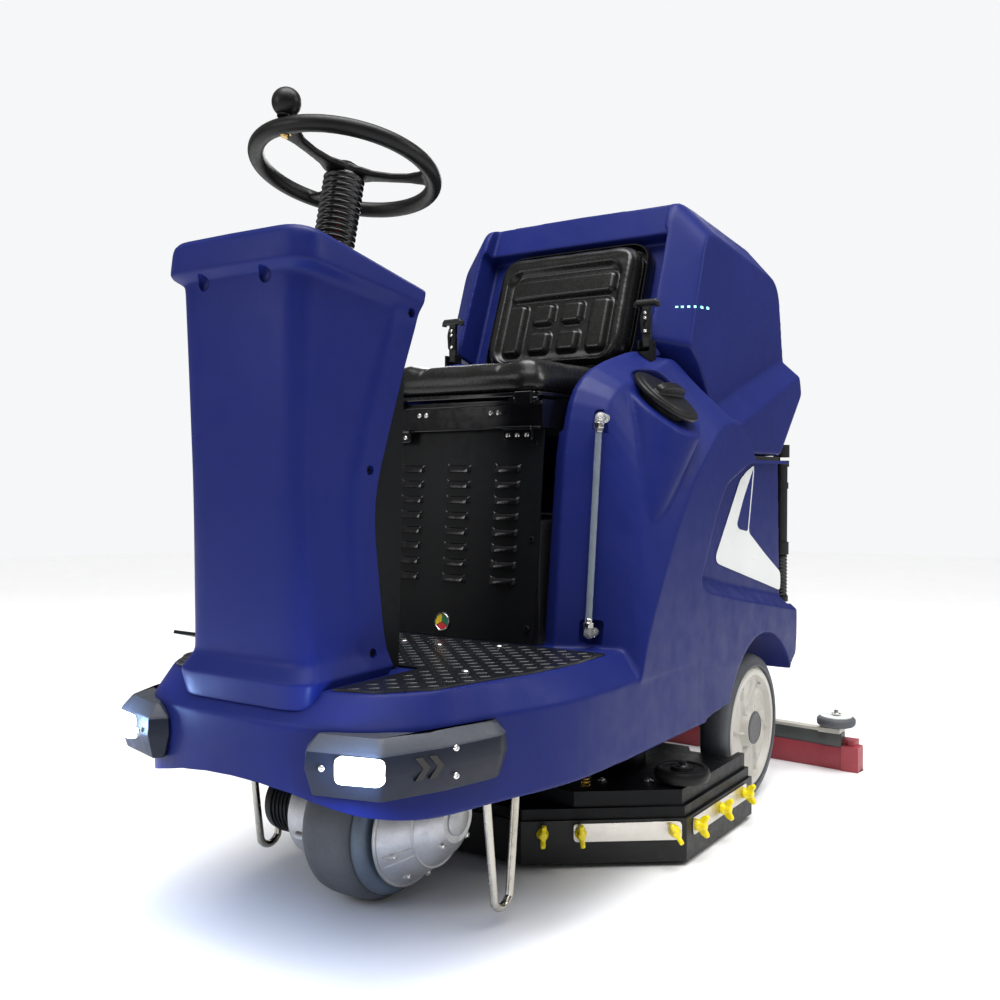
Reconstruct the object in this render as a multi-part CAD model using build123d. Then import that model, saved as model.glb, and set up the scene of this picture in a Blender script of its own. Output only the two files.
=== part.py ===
"""Ride-on floor scrubber, one STEP per sub-part, in millimetres.

The layout runs along Y: the machine faces -Y, +Z is up and +X is the operator's left.
Every shape is laid out from Y = 0 at the tie-down loops, and save() moves it so that the
origin lies on the floor under the middle of the machine.
"""

import math
import os

from build123d import *

# Overall layout
ORIGIN_Y = 514.0          # layout Y of the machine's middle
BODY_HALF = 405.0         # half width of the lower body
WALL = 8.0                # rotomoulded wall
FLOOR_GAP = 255.0         # height of the body's lower edge
PLATFORM_Z = 446.0        # top of the moulded platform
PLATE_T = 4.0             # tread plate
SHOULDER_Z = 397.0        # edge between the body's side and its sloped band

# Wheels
STEER_Y = -5.0            # swivel axis of the driven front wheel
DRIVE_R = 140.0
DRIVE_HALF = 70.0         # half width of the driven tyre
AXLE_Y = 937.0            # rear axle
REAR_R = 176.0
REAR_OUT = 380.0          # outer face of the rear wheels
REAR_W = 68.0
AXLE_R = 12.0
RUN = 0.05                # radial running clearance of every bearing

# Scrub deck
BRUSH_X = 203.0
BRUSH_Y = 572.0
BRUSH_R = 192.0
DECK_TOP = 150.0
DECK_MID = 118.0          # step between the deck's two tiers
SKIRT_T = 6.0
ARM_PIN_R = 8.0
ARM_DY, ARM_DZ = 180.0, 60.0   # lift arm, from its deck pin to its chassis pin
DECK_PINS = ((430.0, 190.0), (570.0, 190.0))
DECK_EAR_X = (68.0, 75.0)      # ears on the deck for the lift arms
ARM_T = 10.0
ARM_BARS = (83.5, 60.0)        # front arms run outside the deck's ears, rear arms inside
ROLLER_AT = (392.0, 503.0)
ROLLER_R = 57.0

# Squeegee
SQ_PIVOT = (1150.0, 215.0)
SQ_HALF = 480.0
SQ_END_Y, SQ_MID_Y = 1336.0, 1362.0

# Column and cowl
WHEEL_C = (0.0, -77.0, 1325.0)
WHEEL_TILT = 13.0
WHEEL_R = 158.5
RIM_R = 14.5
STUB_R = 14.0             # steering shaft inside the wheel's hub
KNUCKLE_AT = -292.5       # along the wheel's axis, where the column's two shafts meet
COLUMN_FOOT_Y = -116.0    # foot of the lower shaft on the steering head
BELLOWS_FROM, BELLOWS_TO = -218.0, -15.0

# Seat and tanks
TANK_IN = 206.0           # inner face of the side tanks
SEAT_HALF = 198.0
TANK_HINGE = (1118.0, 822.0)
LID_HINGE = (1210.0, 1381.0)
SEAT_HINGE = (248.0, 930.0)
CAP_C = (340.0, 520.0, 938.0)
CAP_TILT = 41.0
CAP_R = 80.0
BACK_TILT = 20.0
LATCH_X = 262.0
LATCH_PIVOT = (600.0, 1062.0)
BODY_SPLIT_Y = 262.0      # joint between the front fairing and the tank moulding
SCREW_R = 6.0
PLATE_SCREWS = ((250, -60), (-250, -60), (150, 190), (-150, 190))


def save(node, *shapes):
    """Write one node, moved so that the origin is under the machine's middle."""
    moved = [Pos(0, -ORIGIN_Y, 0) * shape for shape in shapes]
    solids = [solid for shape in moved for solid in shape.solids()]
    export_step(Compound(children=solids), f"parts/{node}.step")


def box(x, y, z):
    """A block from three (low, high) pairs."""
    sizes = [high - low for low, high in (x, y, z)]
    centre = [(high + low) / 2 for low, high in (x, y, z)]
    return Pos(*centre) * Box(*sizes)


def mirror_x(shape):
    return mirror(shape, about=Plane.YZ)


def pair(shape):
    """A shape and its mirror image in the machine's middle plane."""
    return [shape, mirror_x(shape)]


def rod(start, end, radius):
    """A cylinder from one point to another."""
    axis = Vector(*end) - Vector(*start)
    return Solid.make_cylinder(radius, axis.length, Plane(origin=start, z_dir=axis))


def side_wire(x, outline):
    return Wire.make_polygon([(x, y, z) for y, z in outline], close=True)


def side_prism(x0, x1, outline):
    """An outline of (y, z) points, thickened along X."""
    return Solid.extrude(Face(side_wire(x0, outline)), Vector(x1 - x0, 0, 0))


def plan_wire(z, outline):
    return Wire.make_polygon([(x, y, z) for x, y in outline], close=True)


def plan_prism(z0, z1, outline):
    """An outline of (x, y) points, thickened along Z."""
    return Solid.extrude(Face(plan_wire(z0, outline)), Vector(0, 0, z1 - z0))


def whole(half):
    """Close a half outline of (x, y) points, given at +X, with its mirror image."""
    return [*half, *[(-x, y) for x, y in reversed(half) if x > 0]]


def inset(outline, distance):
    """Move every side of an anticlockwise outline inwards by the same distance."""
    count = len(outline)
    moved = []
    for i in range(count):
        (px, py), (cx, cy), (nx, ny) = outline[i - 1], outline[i], outline[(i + 1) % count]
        ax, ay = cx - px, cy - py
        bx, by = nx - cx, ny - cy
        la, lb = math.hypot(ax, ay), math.hypot(bx, by)
        n1 = (-ay / la, ax / la)
        n2 = (-by / lb, bx / lb)
        scale = distance / (1 + n1[0] * n2[0] + n1[1] * n2[1])
        moved.append((cx + (n1[0] + n2[0]) * scale, cy + (n1[1] + n2[1]) * scale))
    return moved


# ---------------------------------------------------------------- body

BODY_PLAN = [(402, 130), (383, 10), (346, -105), (318, -225), (250, -312), (150, -345), (0, -352)]
PLATE_PLAN = [(365, 130), (350, 10), (322, -95), (296, -205), (236, -276), (145, -306), (0, -312)]
ARCH_R = 229.0

TANK_SECTIONS = (
    (206, [(262, 440), (286, 650), (310, 860), (366, 980), (597, 1044), (662, 1034),
           (705, 1012), (784, 924), (824, 890), (891, 818), (1118, 818), (1140, 440)]),
    (238, [(246, 440), (268, 650), (290, 860), (346, 990), (590, 1058), (658, 1048),
           (705, 1022), (784, 930), (824, 894), (891, 818), (1118, 818), (1140, 440)]),
    (300, [(284, 440), (306, 650), (330, 860), (370, 955), (560, 1000), (640, 1040),
           (700, 1022), (784, 930), (824, 894), (891, 818), (1118, 818), (1140, 440)]),
    (368, [(294, 440), (326, 600), (380, 740), (450, 810), (598, 890), (650, 930),
           (700, 950), (784, 925), (824, 890), (891, 818), (1118, 818), (1140, 440)]),
    (BODY_HALF, [(305, 440), (318, 475), (432, 652), (520, 760), (600, 830), (650, 868),
                 (690, 890), (760, 900), (820, 882), (888, 816), (1112, 816), (1135, 440)]),
)


def fairing(shrink, top, bottom):
    """The platform's fairing: straight sides, then a sloped band up to the platform."""
    rear = 600.0
    low = whole([(BODY_HALF, rear), *BODY_PLAN])
    high = whole([(PLATE_PLAN[0][0], rear), *PLATE_PLAN])
    low = inset(low[::-1], shrink)
    high = inset(high[::-1], shrink)
    knee = SHOULDER_Z - shrink / 2
    skirt = plan_prism(bottom, knee, low)
    band = Solid.make_loft([plan_wire(knee, low), plan_wire(top, high)], ruled=True)
    return skirt + band


def side_tank(shrink):
    """One side tank at +X, lofted through its lengthwise sections."""
    wires = []
    last = len(TANK_SECTIONS) - 1
    for i, (x, outline) in enumerate(TANK_SECTIONS):
        x = x + shrink if i == 0 else x - shrink if i == last else x
        wires.append(side_wire(x, inset(outline[::-1], shrink)))
    return Solid.make_loft(wires, ruled=True)


# Sunk panel in a side tank's outer face, open at the top and the rear.
SIDE_RECESS = [(850, 850), (838, 813), (702, 760), (647, 696), (605, 626), (559, 554), (596, 532),
               (788, 497), (1163, 436), (1260, 436), (1260, 850)]
SIDE_RECESS_DEPTH = 30.0
SIDE_RECESS_SLOPE = 26.0


def side_recess(grow):
    """The recess at +X; grow moves its floor and its walls outwards by a wall."""
    floor = side_wire(BODY_HALF - SIDE_RECESS_DEPTH - grow,
                      inset(SIDE_RECESS, SIDE_RECESS_SLOPE - grow))
    return Solid.make_loft([floor, side_wire(BODY_HALF + 1, inset(SIDE_RECESS, -grow))],
                           ruled=True)


def cap_frame():
    """The plane of the fill cap's underside."""
    tilt = math.radians(CAP_TILT)
    return Plane(origin=CAP_C, x_dir=(0, 1, 0), z_dir=(math.sin(tilt), 0, math.cos(tilt)))


def body_moulding():
    """Fairing, platform, both side tanks and the rear wall, before they are parted."""
    shell = fairing(0, PLATFORM_Z, FLOOR_GAP)
    rear_skirt = side_prism(390, BODY_HALF, [(560, FLOOR_GAP + 4), (700, 272), (1050, 284),
                                             (1120, 292), (1178, 325), (1185, 440),
                                             (1135, 500), (560, 500)])
    for skirt in pair(rear_skirt):
        shell += skirt
    for tank in pair(side_tank(0)):
        shell += tank
    shell += box((-TANK_IN, TANK_IN), (1120, 1136), (440, 816))
    shell += box((-TANK_IN, TANK_IN), (705, 1136), (440, 452))
    for liner in pair(rod((296, AXLE_Y, REAR_R), (BODY_HALF, AXLE_Y, REAR_R), ARCH_R + WALL)
                      & box((296, BODY_HALF), (700, 1180), (290, 440))):
        shell += liner

    shell -= fairing(WALL, PLATFORM_Z - WALL, FLOOR_GAP - 20)
    shell -= box((-380, 380), (500, 640), (FLOOR_GAP - 20, PLATFORM_Z - WALL))
    for hollow in pair(side_tank(WALL) - side_recess(WALL)):
        shell -= hollow
    for recess in pair(side_recess(0)):
        shell -= recess
    for arch in pair(rod((280, AXLE_Y, REAR_R), (420, AXLE_Y, REAR_R), ARCH_R)):
        shell -= arch
    shell -= box((-TANK_IN + 8, TANK_IN - 8), (270, 705), (300, 600))
    shell -= box((-60, 60), (-200, 20), (400, 460))
    shell -= Solid.make_cylinder(CAP_R + 6, 140, cap_frame())
    shell -= Solid.make_cylinder(58, 60, cap_frame().offset(-50))
    for drain in pair(rod((330, 1090, 430), (330, 1090, 460), 14)):
        shell -= drain
    for lug in tank_hinge_lugs():
        shell += lug
    return shell + fill_neck()


def body_parts():
    """The moulding parted into the front fairing and the tank body."""
    whole_body = body_moulding()
    front = box((-500, 500), (-400, BODY_SPLIT_Y), (0, 1500))
    return whole_body & front, whole_body - front


def tank_hinge_lugs():
    """Lugs on the rear wall with the pin that the recovery tank tips about."""
    y, z = TANK_HINGE
    lugs = [rod((-160, y, z), (160, y, z), 3.5)]
    for lug in pair(box((60, 76), (y - 2, y + 5), (810, z))):
        lugs.append(lug)
    return lugs


def fill_neck():
    """The raised collar under the fill cap, open to the tank."""
    plane = cap_frame().offset(-26)
    return Solid.make_cylinder(66, 25, plane) - Solid.make_cylinder(58, 60, plane.offset(-10))


def platform_plate():
    """Tread plate on the platform, open round the cowl and its column."""
    half = [(x - 6 if x else 0, y + (6 if y < 0 else 0)) for x, y in PLATE_PLAN]
    outline = whole([(PLATE_PLAN[0][0] - 8, 234), *half])
    plate = plan_prism(PLATFORM_Z, PLATFORM_Z + PLATE_T, outline[::-1])
    for x, y in PLATE_SCREWS:
        plate -= rod((x, y, PLATFORM_Z - 1), (x, y, PLATFORM_Z + PLATE_T + 1), SCREW_R + 0.1)
    return plate - box((-165, 165), (-400, -74), (400, 500))


# ---------------------------------------------------------------- chassis

RAIL_IN, RAIL_OUT = 100.0, 140.0
RAIL_Z = (300.0, 350.0)


def chassis_frame():
    """Welded frame: every member is its own cut length, butted against its neighbours."""
    low, high = RAIL_Z
    members = pair(box((RAIL_IN, RAIL_OUT), (-150, 1110), RAIL_Z))
    for y0, y1 in ((-150, -110), (262, 300), (560, 628), (730, 770), (1070, 1110)):
        members.append(box((-RAIL_IN, RAIL_IN), (y0, y1), RAIL_Z))
    for wing in pair(box((RAIL_OUT, 292), (-45, 45), (low, low + 22))):
        members.append(wing)
    head = box((-RAIL_IN, RAIL_IN), (-136, 60), (high, high + 12))
    members.append(head - rod((0, STEER_Y, 290), (0, STEER_Y, 380), 20 + RUN))
    for strip in pair(box((RAIL_IN, 110), (-136, 60), (high, high + 12))):
        members.append(strip)
    for y in (262, 660):
        members += pair(box((RAIL_IN, RAIL_OUT), (y, y + 38), (high, 428)))
    members.append(box((-190, 190), (276, 700), (428, 434)))
    return members + axle_members() + lift_ears() + squeegee_ears()


def axle_members():
    """Rear axle in lengths, with a hanger from each rail and a collar inside each wheel."""
    members = [rod((-108, AXLE_Y, REAR_R), (108, AXLE_Y, REAR_R), AXLE_R)]
    members += pair(box((108, 132), (905, 969), (150, RAIL_Z[0])))
    for x0, x1, radius in ((132, 250, AXLE_R), (250, REAR_OUT - REAR_W - 2, 22),
                           (REAR_OUT - REAR_W - 2, REAR_OUT + 6, AXLE_R)):
        members += pair(rod((x0, AXLE_Y, REAR_R), (x1, AXLE_Y, REAR_R), radius))
    return members


def lift_ears():
    """Plates under the cross members that carry the deck's lift arms."""
    ears = []
    for y, z in DECK_PINS:
        pin_y, pin_z = y + ARM_DY, z + ARM_DZ
        ear = box((92, 99), (pin_y - 18, pin_y + 18), (pin_z - 18, RAIL_Z[0]))
        ears += pair(ear - rod((90, pin_y, pin_z), (110, pin_y, pin_z), ARM_PIN_R + RUN))
    return ears


def squeegee_ears():
    """Rear plate with the two ears of the squeegee's pivot."""
    y, z = SQ_PIVOT
    ears = [box((-60, 60), (1110, 1122), (190, RAIL_Z[1]))]
    for ear in pair(box((42, 50), (1122, y + 20), (z - 20, z + 20))):
        ears.append(ear - rod((-60, y, z), (60, y, z), 8 + RUN))
    return ears


def tie_down_loops():
    """Two bent steel bars under the front beam."""
    loops = []
    for x in (-283, 283):
        path = FilletPolyline((x, -31, 299.5), (x, -31, 230), (x, -4, 38), (x, 8, 38),
                              (x, 33, 230), (x, 33, 299.5), radius=[60, 13, 13, 60])
        section = Plane(origin=path @ 0, z_dir=path % 0) * Circle(7.5)
        loops.append(sweep(section, path=path))
    return loops


# ---------------------------------------------------------------- cowl and steering

# Per level: front half width, front y, front z, rear half width, rear y, rear z.
COWL_LEVELS = (
    (150, -316, 450, 150, -134, 450), (160, -318, 462, 156, -134, 462),
    (138, -326, 486, 142, -138, 486), (128, -332, 745, 131, -159, 735),
    (141, -338, 1060, 160, -80, 1057), (143, -340, 1108, 160, -64, 1078),
    (162, -352, 1118, 161, -58, 1085), (160, -345, 1161, 160, -50, 1100),
)


def cowl_block(shrink, reach):
    wires = []
    for wf, yf, zf, wr, yr, zr in COWL_LEVELS:
        wf, wr, yf = wf - shrink, wr - shrink, yf + shrink
        wires.append(Wire.make_polygon(
            [(-wf, yf, zf), (wf, yf, zf), (wr, yr + reach, zr), (-wr, yr + reach, zr)],
            close=True))
    return Solid.make_loft(wires, ruled=True)


def cowl_shell():
    shell = cowl_block(0, 0) - cowl_block(5, 60)
    return shell - control_panel()


def control_panel():
    """The sloped top panel, with the column's hole near its rear edge."""
    panel = side_prism(-155, 155, [(-346, 1149), (-346, 1155), (-56, 1096), (-56, 1090)])
    panel &= cowl_block(5, 60)
    panel -= Solid.make_cylinder(27, 120, tilt_frame().offset(KNUCKLE_AT))
    for x, radius in ((-70, 9), (70, 14)):
        panel -= rod((x, -180, 1050), (x, -180, 1200), radius + 0.3)
    return panel


def cowl_rear_panel():
    outer = side_prism(-122, 122, [(-230, 448), (-80, 448), (-60, 1078), (-230, 1078)])
    return outer - side_prism(-118, 118, [(-240, 440), (-85, 440), (-64, 1090), (-240, 1090)])


def tilt_frame():
    """The steering wheel's own frame, with Z along its axis."""
    tilt = math.radians(WHEEL_TILT)
    return Plane(origin=WHEEL_C, x_dir=(1, 0, 0), z_dir=(0, math.sin(tilt), math.cos(tilt)))


def place(plane, shape):
    return plane.location * shape


def steering_column():
    """A lower shaft, a knuckle under the panel and a leaning upper shaft."""
    knuckle = tilt_frame().offset(KNUCKLE_AT).origin
    lower = rod((0, COLUMN_FOOT_Y, 363), tuple(knuckle), 18)
    upper = Solid.make_cylinder(18, -46 - KNUCKLE_AT, tilt_frame().offset(KNUCKLE_AT))
    stub = Solid.make_cylinder(STUB_R, 34, tilt_frame().offset(-46))
    return lower + upper + stub + Pos(*knuckle) * Sphere(24)


def column_bellows():
    """A pleated rubber sleeve from the panel to the wheel's hub."""
    ribs, low, high = 19, BELLOWS_FROM, BELLOWS_TO
    pitch = (high - low) / ribs
    points = [(29.0, low)]
    for i in range(ribs):
        points += [(37.0, low + (i + 0.35) * pitch), (37.0, low + (i + 0.65) * pitch),
                   (33.0, low + (i + 1) * pitch)]
    points += [(29.0, high)]
    profile = Wire.make_polygon([(r, 0, z) for r, z in points], close=True)
    return place(tilt_frame(), Solid.revolve(Face(profile), 360, Axis.Z))


def steering_wheel():
    wheel = Torus(WHEEL_R, RIM_R) + Pos(0, 0, -4) * Cylinder(31, 20)
    wheel += Pos(0, 0, -20) * Cylinder(22, 16)
    for angle in (-90, 30, 150):
        spoke = Pos(WHEEL_R / 2, 0, -4) * Box(WHEEL_R - 8, 24, 12)
        wheel += Rot(0, 0, angle) * spoke
    wheel -= Pos(0, 0, -25) * Cylinder(STUB_R + RUN, 30)
    x, y = spinner_at()
    wheel -= Pos(x, y, 0) * Cylinder(5 + RUN, 60)
    return place(tilt_frame(), wheel)


def spinner_at():
    return 0.0, -WHEEL_R


def spinner_knob():
    """A free-turning ball on a pin through the rim."""
    x, y = spinner_at()
    knob = Pos(x, y, 43) * Sphere(25) + Pos(x, y, 21) * Cylinder(9, 10)
    knob += Pos(x, y, 6) * Cylinder(5, 40)
    return place(tilt_frame(), knob)


def key_switch():
    barrel = rod((-70, -180, 1085), (-70, -180, 1130), 9)
    return barrel + box((-72, -68), (-189, -171), (1130, 1152))


def stop_button():
    stem = rod((70, -180, 1085), (70, -180, 1133), 14)
    return stem + rod((70, -180, 1133), (70, -180, 1147), 21)


# ---------------------------------------------------------------- lamps

LAMP_C = (259.0, -348.0, 350.0)
LAMP_TURN = 18.0


def lamp_block(width, depth, height):
    return Pos(*LAMP_C) * Rot(0, 0, LAMP_TURN) * Box(width, depth, height)


def headlight_housings():
    """A faceted corner housing on each side, with a pocket for its lamp."""
    outer = [(196, -352), (216, -364), (300, -338), (345, -232), (371, -128), (362, -100),
             (340, -100), (300, -240), (210, -320)]
    mid = plan_prism(312, 372, outer)
    low = Solid.make_loft([plan_wire(292, inset(outer, 12)), plan_wire(312, outer)], ruled=True)
    top = Solid.make_loft([plan_wire(372, outer), plan_wire(398, inset(outer, 14))], ruled=True)
    housing = mid + low + top - fairing(0, PLATFORM_Z, FLOOR_GAP)
    return pair(housing - lamp_block(78, 24, 46))


def headlight_lenses():
    lens = lamp_block(78, 22, 46)
    return pair(lens - fairing(0, PLATFORM_Z, FLOOR_GAP))


# ---------------------------------------------------------------- drive unit

def drive_yoke():
    """Swivel head with two side plates and the wheel's axle."""
    yoke = rod((0, STEER_Y, 284), (0, STEER_Y, 372), 20)
    yoke += rod((0, STEER_Y, 284), (0, STEER_Y, 296), 92)
    for plate in pair(box((76, 84), (STEER_Y - 46, STEER_Y + 46), (92, 288))):
        yoke += plate
    return yoke + rod((-84, STEER_Y, DRIVE_R), (84, STEER_Y, DRIVE_R), 15)


# Gearbox and motor from the yoke outwards: x, height of the centre, radius.
MOTOR_RINGS = ((84, 140, 104), (117, 148, 88), (152, 160, 75), (178, 170, 60), (194, 176, 42))


def drive_motor():
    """Cast gearbox cover against the yoke, rising and tapering to the motor's end."""
    wires = []
    for x, z, radius in MOTOR_RINGS:
        wires.append(Wire.make_circle(radius, Plane(origin=(x, STEER_Y, z), z_dir=(1, 0, 0))))
    return Solid.make_loft(wires, ruled=True)


def drive_brake():
    """Bearing cover on the wheel's other side, with the brake drum beyond it."""
    cover = rod((-84, STEER_Y, DRIVE_R), (-107, STEER_Y, DRIVE_R), 93)
    cone = Plane(origin=(-107, STEER_Y, DRIVE_R), z_dir=(-1, 0, 0))
    cover += Solid.make_cone(93, 84, 28, cone)
    cover += rod((-135, STEER_Y, DRIVE_R), (-161, STEER_Y, DRIVE_R), 52)
    return cover + rod((-161, STEER_Y, DRIVE_R), (-229, STEER_Y, DRIVE_R), 58)


def drive_rim():
    rim = rod((-62, STEER_Y, DRIVE_R), (62, STEER_Y, DRIVE_R), 98)
    for x0, x1 in ((-62, -30), (30, 62)):
        ring = rod((x0, STEER_Y, DRIVE_R), (x1, STEER_Y, DRIVE_R), 84)
        rim -= ring - rod((x0, STEER_Y, DRIVE_R), (x1, STEER_Y, DRIVE_R), 34)
    return rim - rod((-70, STEER_Y, DRIVE_R), (70, STEER_Y, DRIVE_R), 15 + RUN)


def tyre(centre_y, radius, bore, x0, x1, shoulder):
    """A solid tyre with rounded shoulders, turned about an axis along X."""
    outline = [(bore, x0), (radius - shoulder, x0), (radius - shoulder * 0.3, x0 + shoulder * 0.3),
               (radius, x0 + shoulder), (radius, x1 - shoulder),
               (radius - shoulder * 0.3, x1 - shoulder * 0.3), (radius - shoulder, x1), (bore, x1)]
    face = Face(Wire.make_polygon([(x, centre_y, radius + r) for r, x in outline], close=True))
    axis = Axis((0, centre_y, radius), (1, 0, 0))
    return Solid.revolve(face, 360, axis)


# ---------------------------------------------------------------- rear wheels

def rear_hub():
    """A dished plastic wheel centre at +X."""
    inner, outer = REAR_OUT - REAR_W, REAR_OUT
    hub = rod((inner, AXLE_Y, REAR_R), (outer - 4, AXLE_Y, REAR_R), 146)
    dish = rod((outer - 16, AXLE_Y, REAR_R), (outer, AXLE_Y, REAR_R), 134)
    dish -= rod((outer - 16, AXLE_Y, REAR_R), (outer, AXLE_Y, REAR_R), 38)
    back = rod((inner, AXLE_Y, REAR_R), (inner + 30, AXLE_Y, REAR_R), 134)
    back -= rod((inner, AXLE_Y, REAR_R), (inner + 30, AXLE_Y, REAR_R), 38)
    hub = hub - dish - back
    hub += rod((outer - 4, AXLE_Y, REAR_R), (outer + 8, AXLE_Y, REAR_R), 30)
    return hub - rod((inner - 1, AXLE_Y, REAR_R), (outer + 6.1, AXLE_Y, REAR_R), AXLE_R + RUN)


# ---------------------------------------------------------------- scrub deck

DECK_PLAN = [(0, 252), (162, 252), (420, 453), (420, 802), (390, 802), (390, 750),
             (308, 750), (288, 786), (0, 786)]
LID_FRONT = 322.0


def deck_ring(grow, z0, z1):
    outline = whole_loop(DECK_PLAN)
    return plan_prism(z0, z1, inset(outline, -grow))


def whole_loop(half):
    """Close a half outline that starts and ends on the middle plane."""
    return [*half[1:-1], *[(-x, y) for x, y in reversed(half[1:-1])]]


def deck_housing():
    """A two-tier steel cover, open below, with ears for the lift arms."""
    deck = deck_ring(0, 84, DECK_MID) - deck_ring(-5, 80, DECK_MID - 5)
    lid = deck_ring(-7, DECK_MID, DECK_TOP) & box((-430, 430), (LID_FRONT, 810), (0, 200))
    hollow = deck_ring(-12, DECK_MID - 5, DECK_TOP - 5) & box(
        (-430, 430), (LID_FRONT + 5, 805), (0, 200))
    deck = deck + lid - hollow
    for x in (-BRUSH_X, BRUSH_X):
        deck -= rod((x, BRUSH_Y, 100), (x, BRUSH_Y, 200), 26)
    for y, z in DECK_PINS:
        for ear in pair(box(DECK_EAR_X, (y - 18, y + 18), (DECK_TOP, z + 18))):
            deck += ear
        deck -= rod((-90, y, z), (90, y, z), ARM_PIN_R + RUN)
    x, y = ROLLER_AT
    for post in pair(rod((x, y, DECK_TOP), (x, y, 194), 8)):
        deck += post
    return deck


def deck_skirts():
    """Flexible skirt round the deck, open at the rear."""
    ring = deck_ring(SKIRT_T, 10, 96) - deck_ring(0.2, 0, 100)
    return ring - box((-388, 388), (700, 830), (0, 110))


def face_frame(start, end, z):
    """A frame on a skirt face: X along the face, Z out of it."""
    along = Vector(end[0] - start[0], end[1] - start[1], 0).normalized()
    out = Vector(along.Y, -along.X, 0)
    return Plane(origin=(*start, z), x_dir=along, z_dir=out)


def skirt_faces():
    """Start, end and knob places of each clamped skirt face at +X."""
    outer = inset(whole_loop(DECK_PLAN), -SKIRT_T)
    corner_front, corner_side, corner_rear = outer[0], outer[1], outer[2]
    return ((corner_front, corner_side), (corner_side, corner_rear))


STRIP_Z = 72.0
STRIP_H = 37.0
STRIP_T = 2.5
STRIP_SPANS = ((70.0, 318.0), (26.0, 318.0))      # from the start of each face
KNOB_PLACES = ((20.0, 88.0, 305.0), (40.0, 170.0, 300.0))


def skirt_strips():
    strips = []
    for (start, end), (low, high) in zip(skirt_faces(), STRIP_SPANS):
        plane = face_frame(start, end, STRIP_Z)
        bar = Pos((low + high) / 2, 0, STRIP_T / 2) * Box(high - low, STRIP_H, STRIP_T)
        strips += pair(place(plane, bar))
    return strips


def skirt_knobs():
    """Yellow wing nuts that clamp the strips."""
    knobs = []
    for (start, end), places in zip(skirt_faces(), KNOB_PLACES):
        plane = face_frame(start, end, STRIP_Z)
        for at in places:
            base = STRIP_T if at > 26 else 0
            knob = Pos(at, 0, base + 8) * Cylinder(7, 16) + Pos(at, 0, base + 20) * Box(11, 34, 9)
            knobs += pair(place(plane, knob))
    return knobs


def brush_motors():
    motors = []
    for x in (-BRUSH_X, BRUSH_X):
        motor = rod((x, BRUSH_Y, DECK_TOP), (x, BRUSH_Y, 262), 52)
        motor += rod((x, BRUSH_Y, DECK_TOP), (x, BRUSH_Y, 176), 66)
        motors.append(motor - rod((x, BRUSH_Y, 100), (x, BRUSH_Y, 182), 15 + RUN))
    return motors


def brush(x):
    """Brush plate with its drive shaft and a ring of bristles down to the floor."""
    plate = rod((x, BRUSH_Y, 56), (x, BRUSH_Y, 74), BRUSH_R)
    plate += rod((x, BRUSH_Y, 74), (x, BRUSH_Y, 178), 15)
    bristles = rod((x, BRUSH_Y, 0), (x, BRUSH_Y, 56), BRUSH_R - 2)
    return plate + bristles - rod((x, BRUSH_Y, 0), (x, BRUSH_Y, 56), 70)


def deck_roller(side):
    x, y = ROLLER_AT
    x *= side
    roller = rod((x, y, 154), (x, y, 184), ROLLER_R)
    return roller - rod((x, y, 150), (x, y, 190), 8 + RUN)


def lift_arms(y, z, bar_x):
    """Two parallel bars joined by a tube, with a pin through each end."""
    top_y, top_z = y + ARM_DY, z + ARM_DZ
    length = math.hypot(ARM_DY, ARM_DZ)
    angle = math.degrees(math.atan2(ARM_DZ, ARM_DY))
    middle = ((y + top_y) / 2, (z + top_z) / 2)
    arms = rod((-bar_x, *middle), (bar_x, *middle), 10)
    for bar in pair(Pos(bar_x, *middle) * Rot(angle, 0, 0) * Box(ARM_T, length + 28, 26)):
        arms += bar
    low, high = bar_x - ARM_T / 2, bar_x + ARM_T / 2
    for pin_y, pin_z, inner, outer in ((y, z, min(low, DECK_EAR_X[0] - 1), max(high, DECK_EAR_X[1] + 1)),
                                       (top_y, top_z, low, 104)):
        for pin in pair(rod((inner, pin_y, pin_z), (outer, pin_y, pin_z), ARM_PIN_R)):
            arms += pin
    return arms


# ---------------------------------------------------------------- squeegee

def arc_bar(half, grow_front, grow_rear, z0, z1, end_y=SQ_END_Y, mid_y=SQ_MID_Y):
    """A bar that follows the squeegee's gentle arc."""
    front = ThreePointArc((-half, end_y - grow_front, z0), (0, mid_y - grow_front, z0),
                          (half, end_y - grow_front, z0))
    rear = ThreePointArc((half, end_y + grow_rear, z0), (0, mid_y + grow_rear, z0),
                         (-half, end_y + grow_rear, z0))
    sides = [Line(front @ 1, rear @ 0), Line(rear @ 1, front @ 0)]
    return Solid.extrude(Face(Wire([front.edge(), sides[0].edge(), rear.edge(),
                                    sides[1].edge()])), Vector(0, 0, z1 - z0))


def squeegee_body():
    body = arc_bar(SQ_HALF, 18, 18, 52, 96)
    body -= arc_bar(SQ_HALF - 6, 12, 12, 50, 90)
    body += rod((0, SQ_MID_Y, 96), (0, SQ_MID_Y, 140), 26)
    return body - rod((0, SQ_MID_Y, 80), (0, SQ_MID_Y, 150), 21)


def squeegee_blades():
    """Front and rear blades joined by end blocks outside the body."""
    blade = arc_bar(SQ_HALF + 46, 24, -18.2, 0, 60) + arc_bar(SQ_HALF + 46, -18.2, 24, 0, 60)
    for end in pair(box((SQ_HALF + 1, SQ_HALF + 46), (SQ_END_Y - 25, SQ_END_Y + 20), (0, 66))):
        blade += end
    return blade


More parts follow.
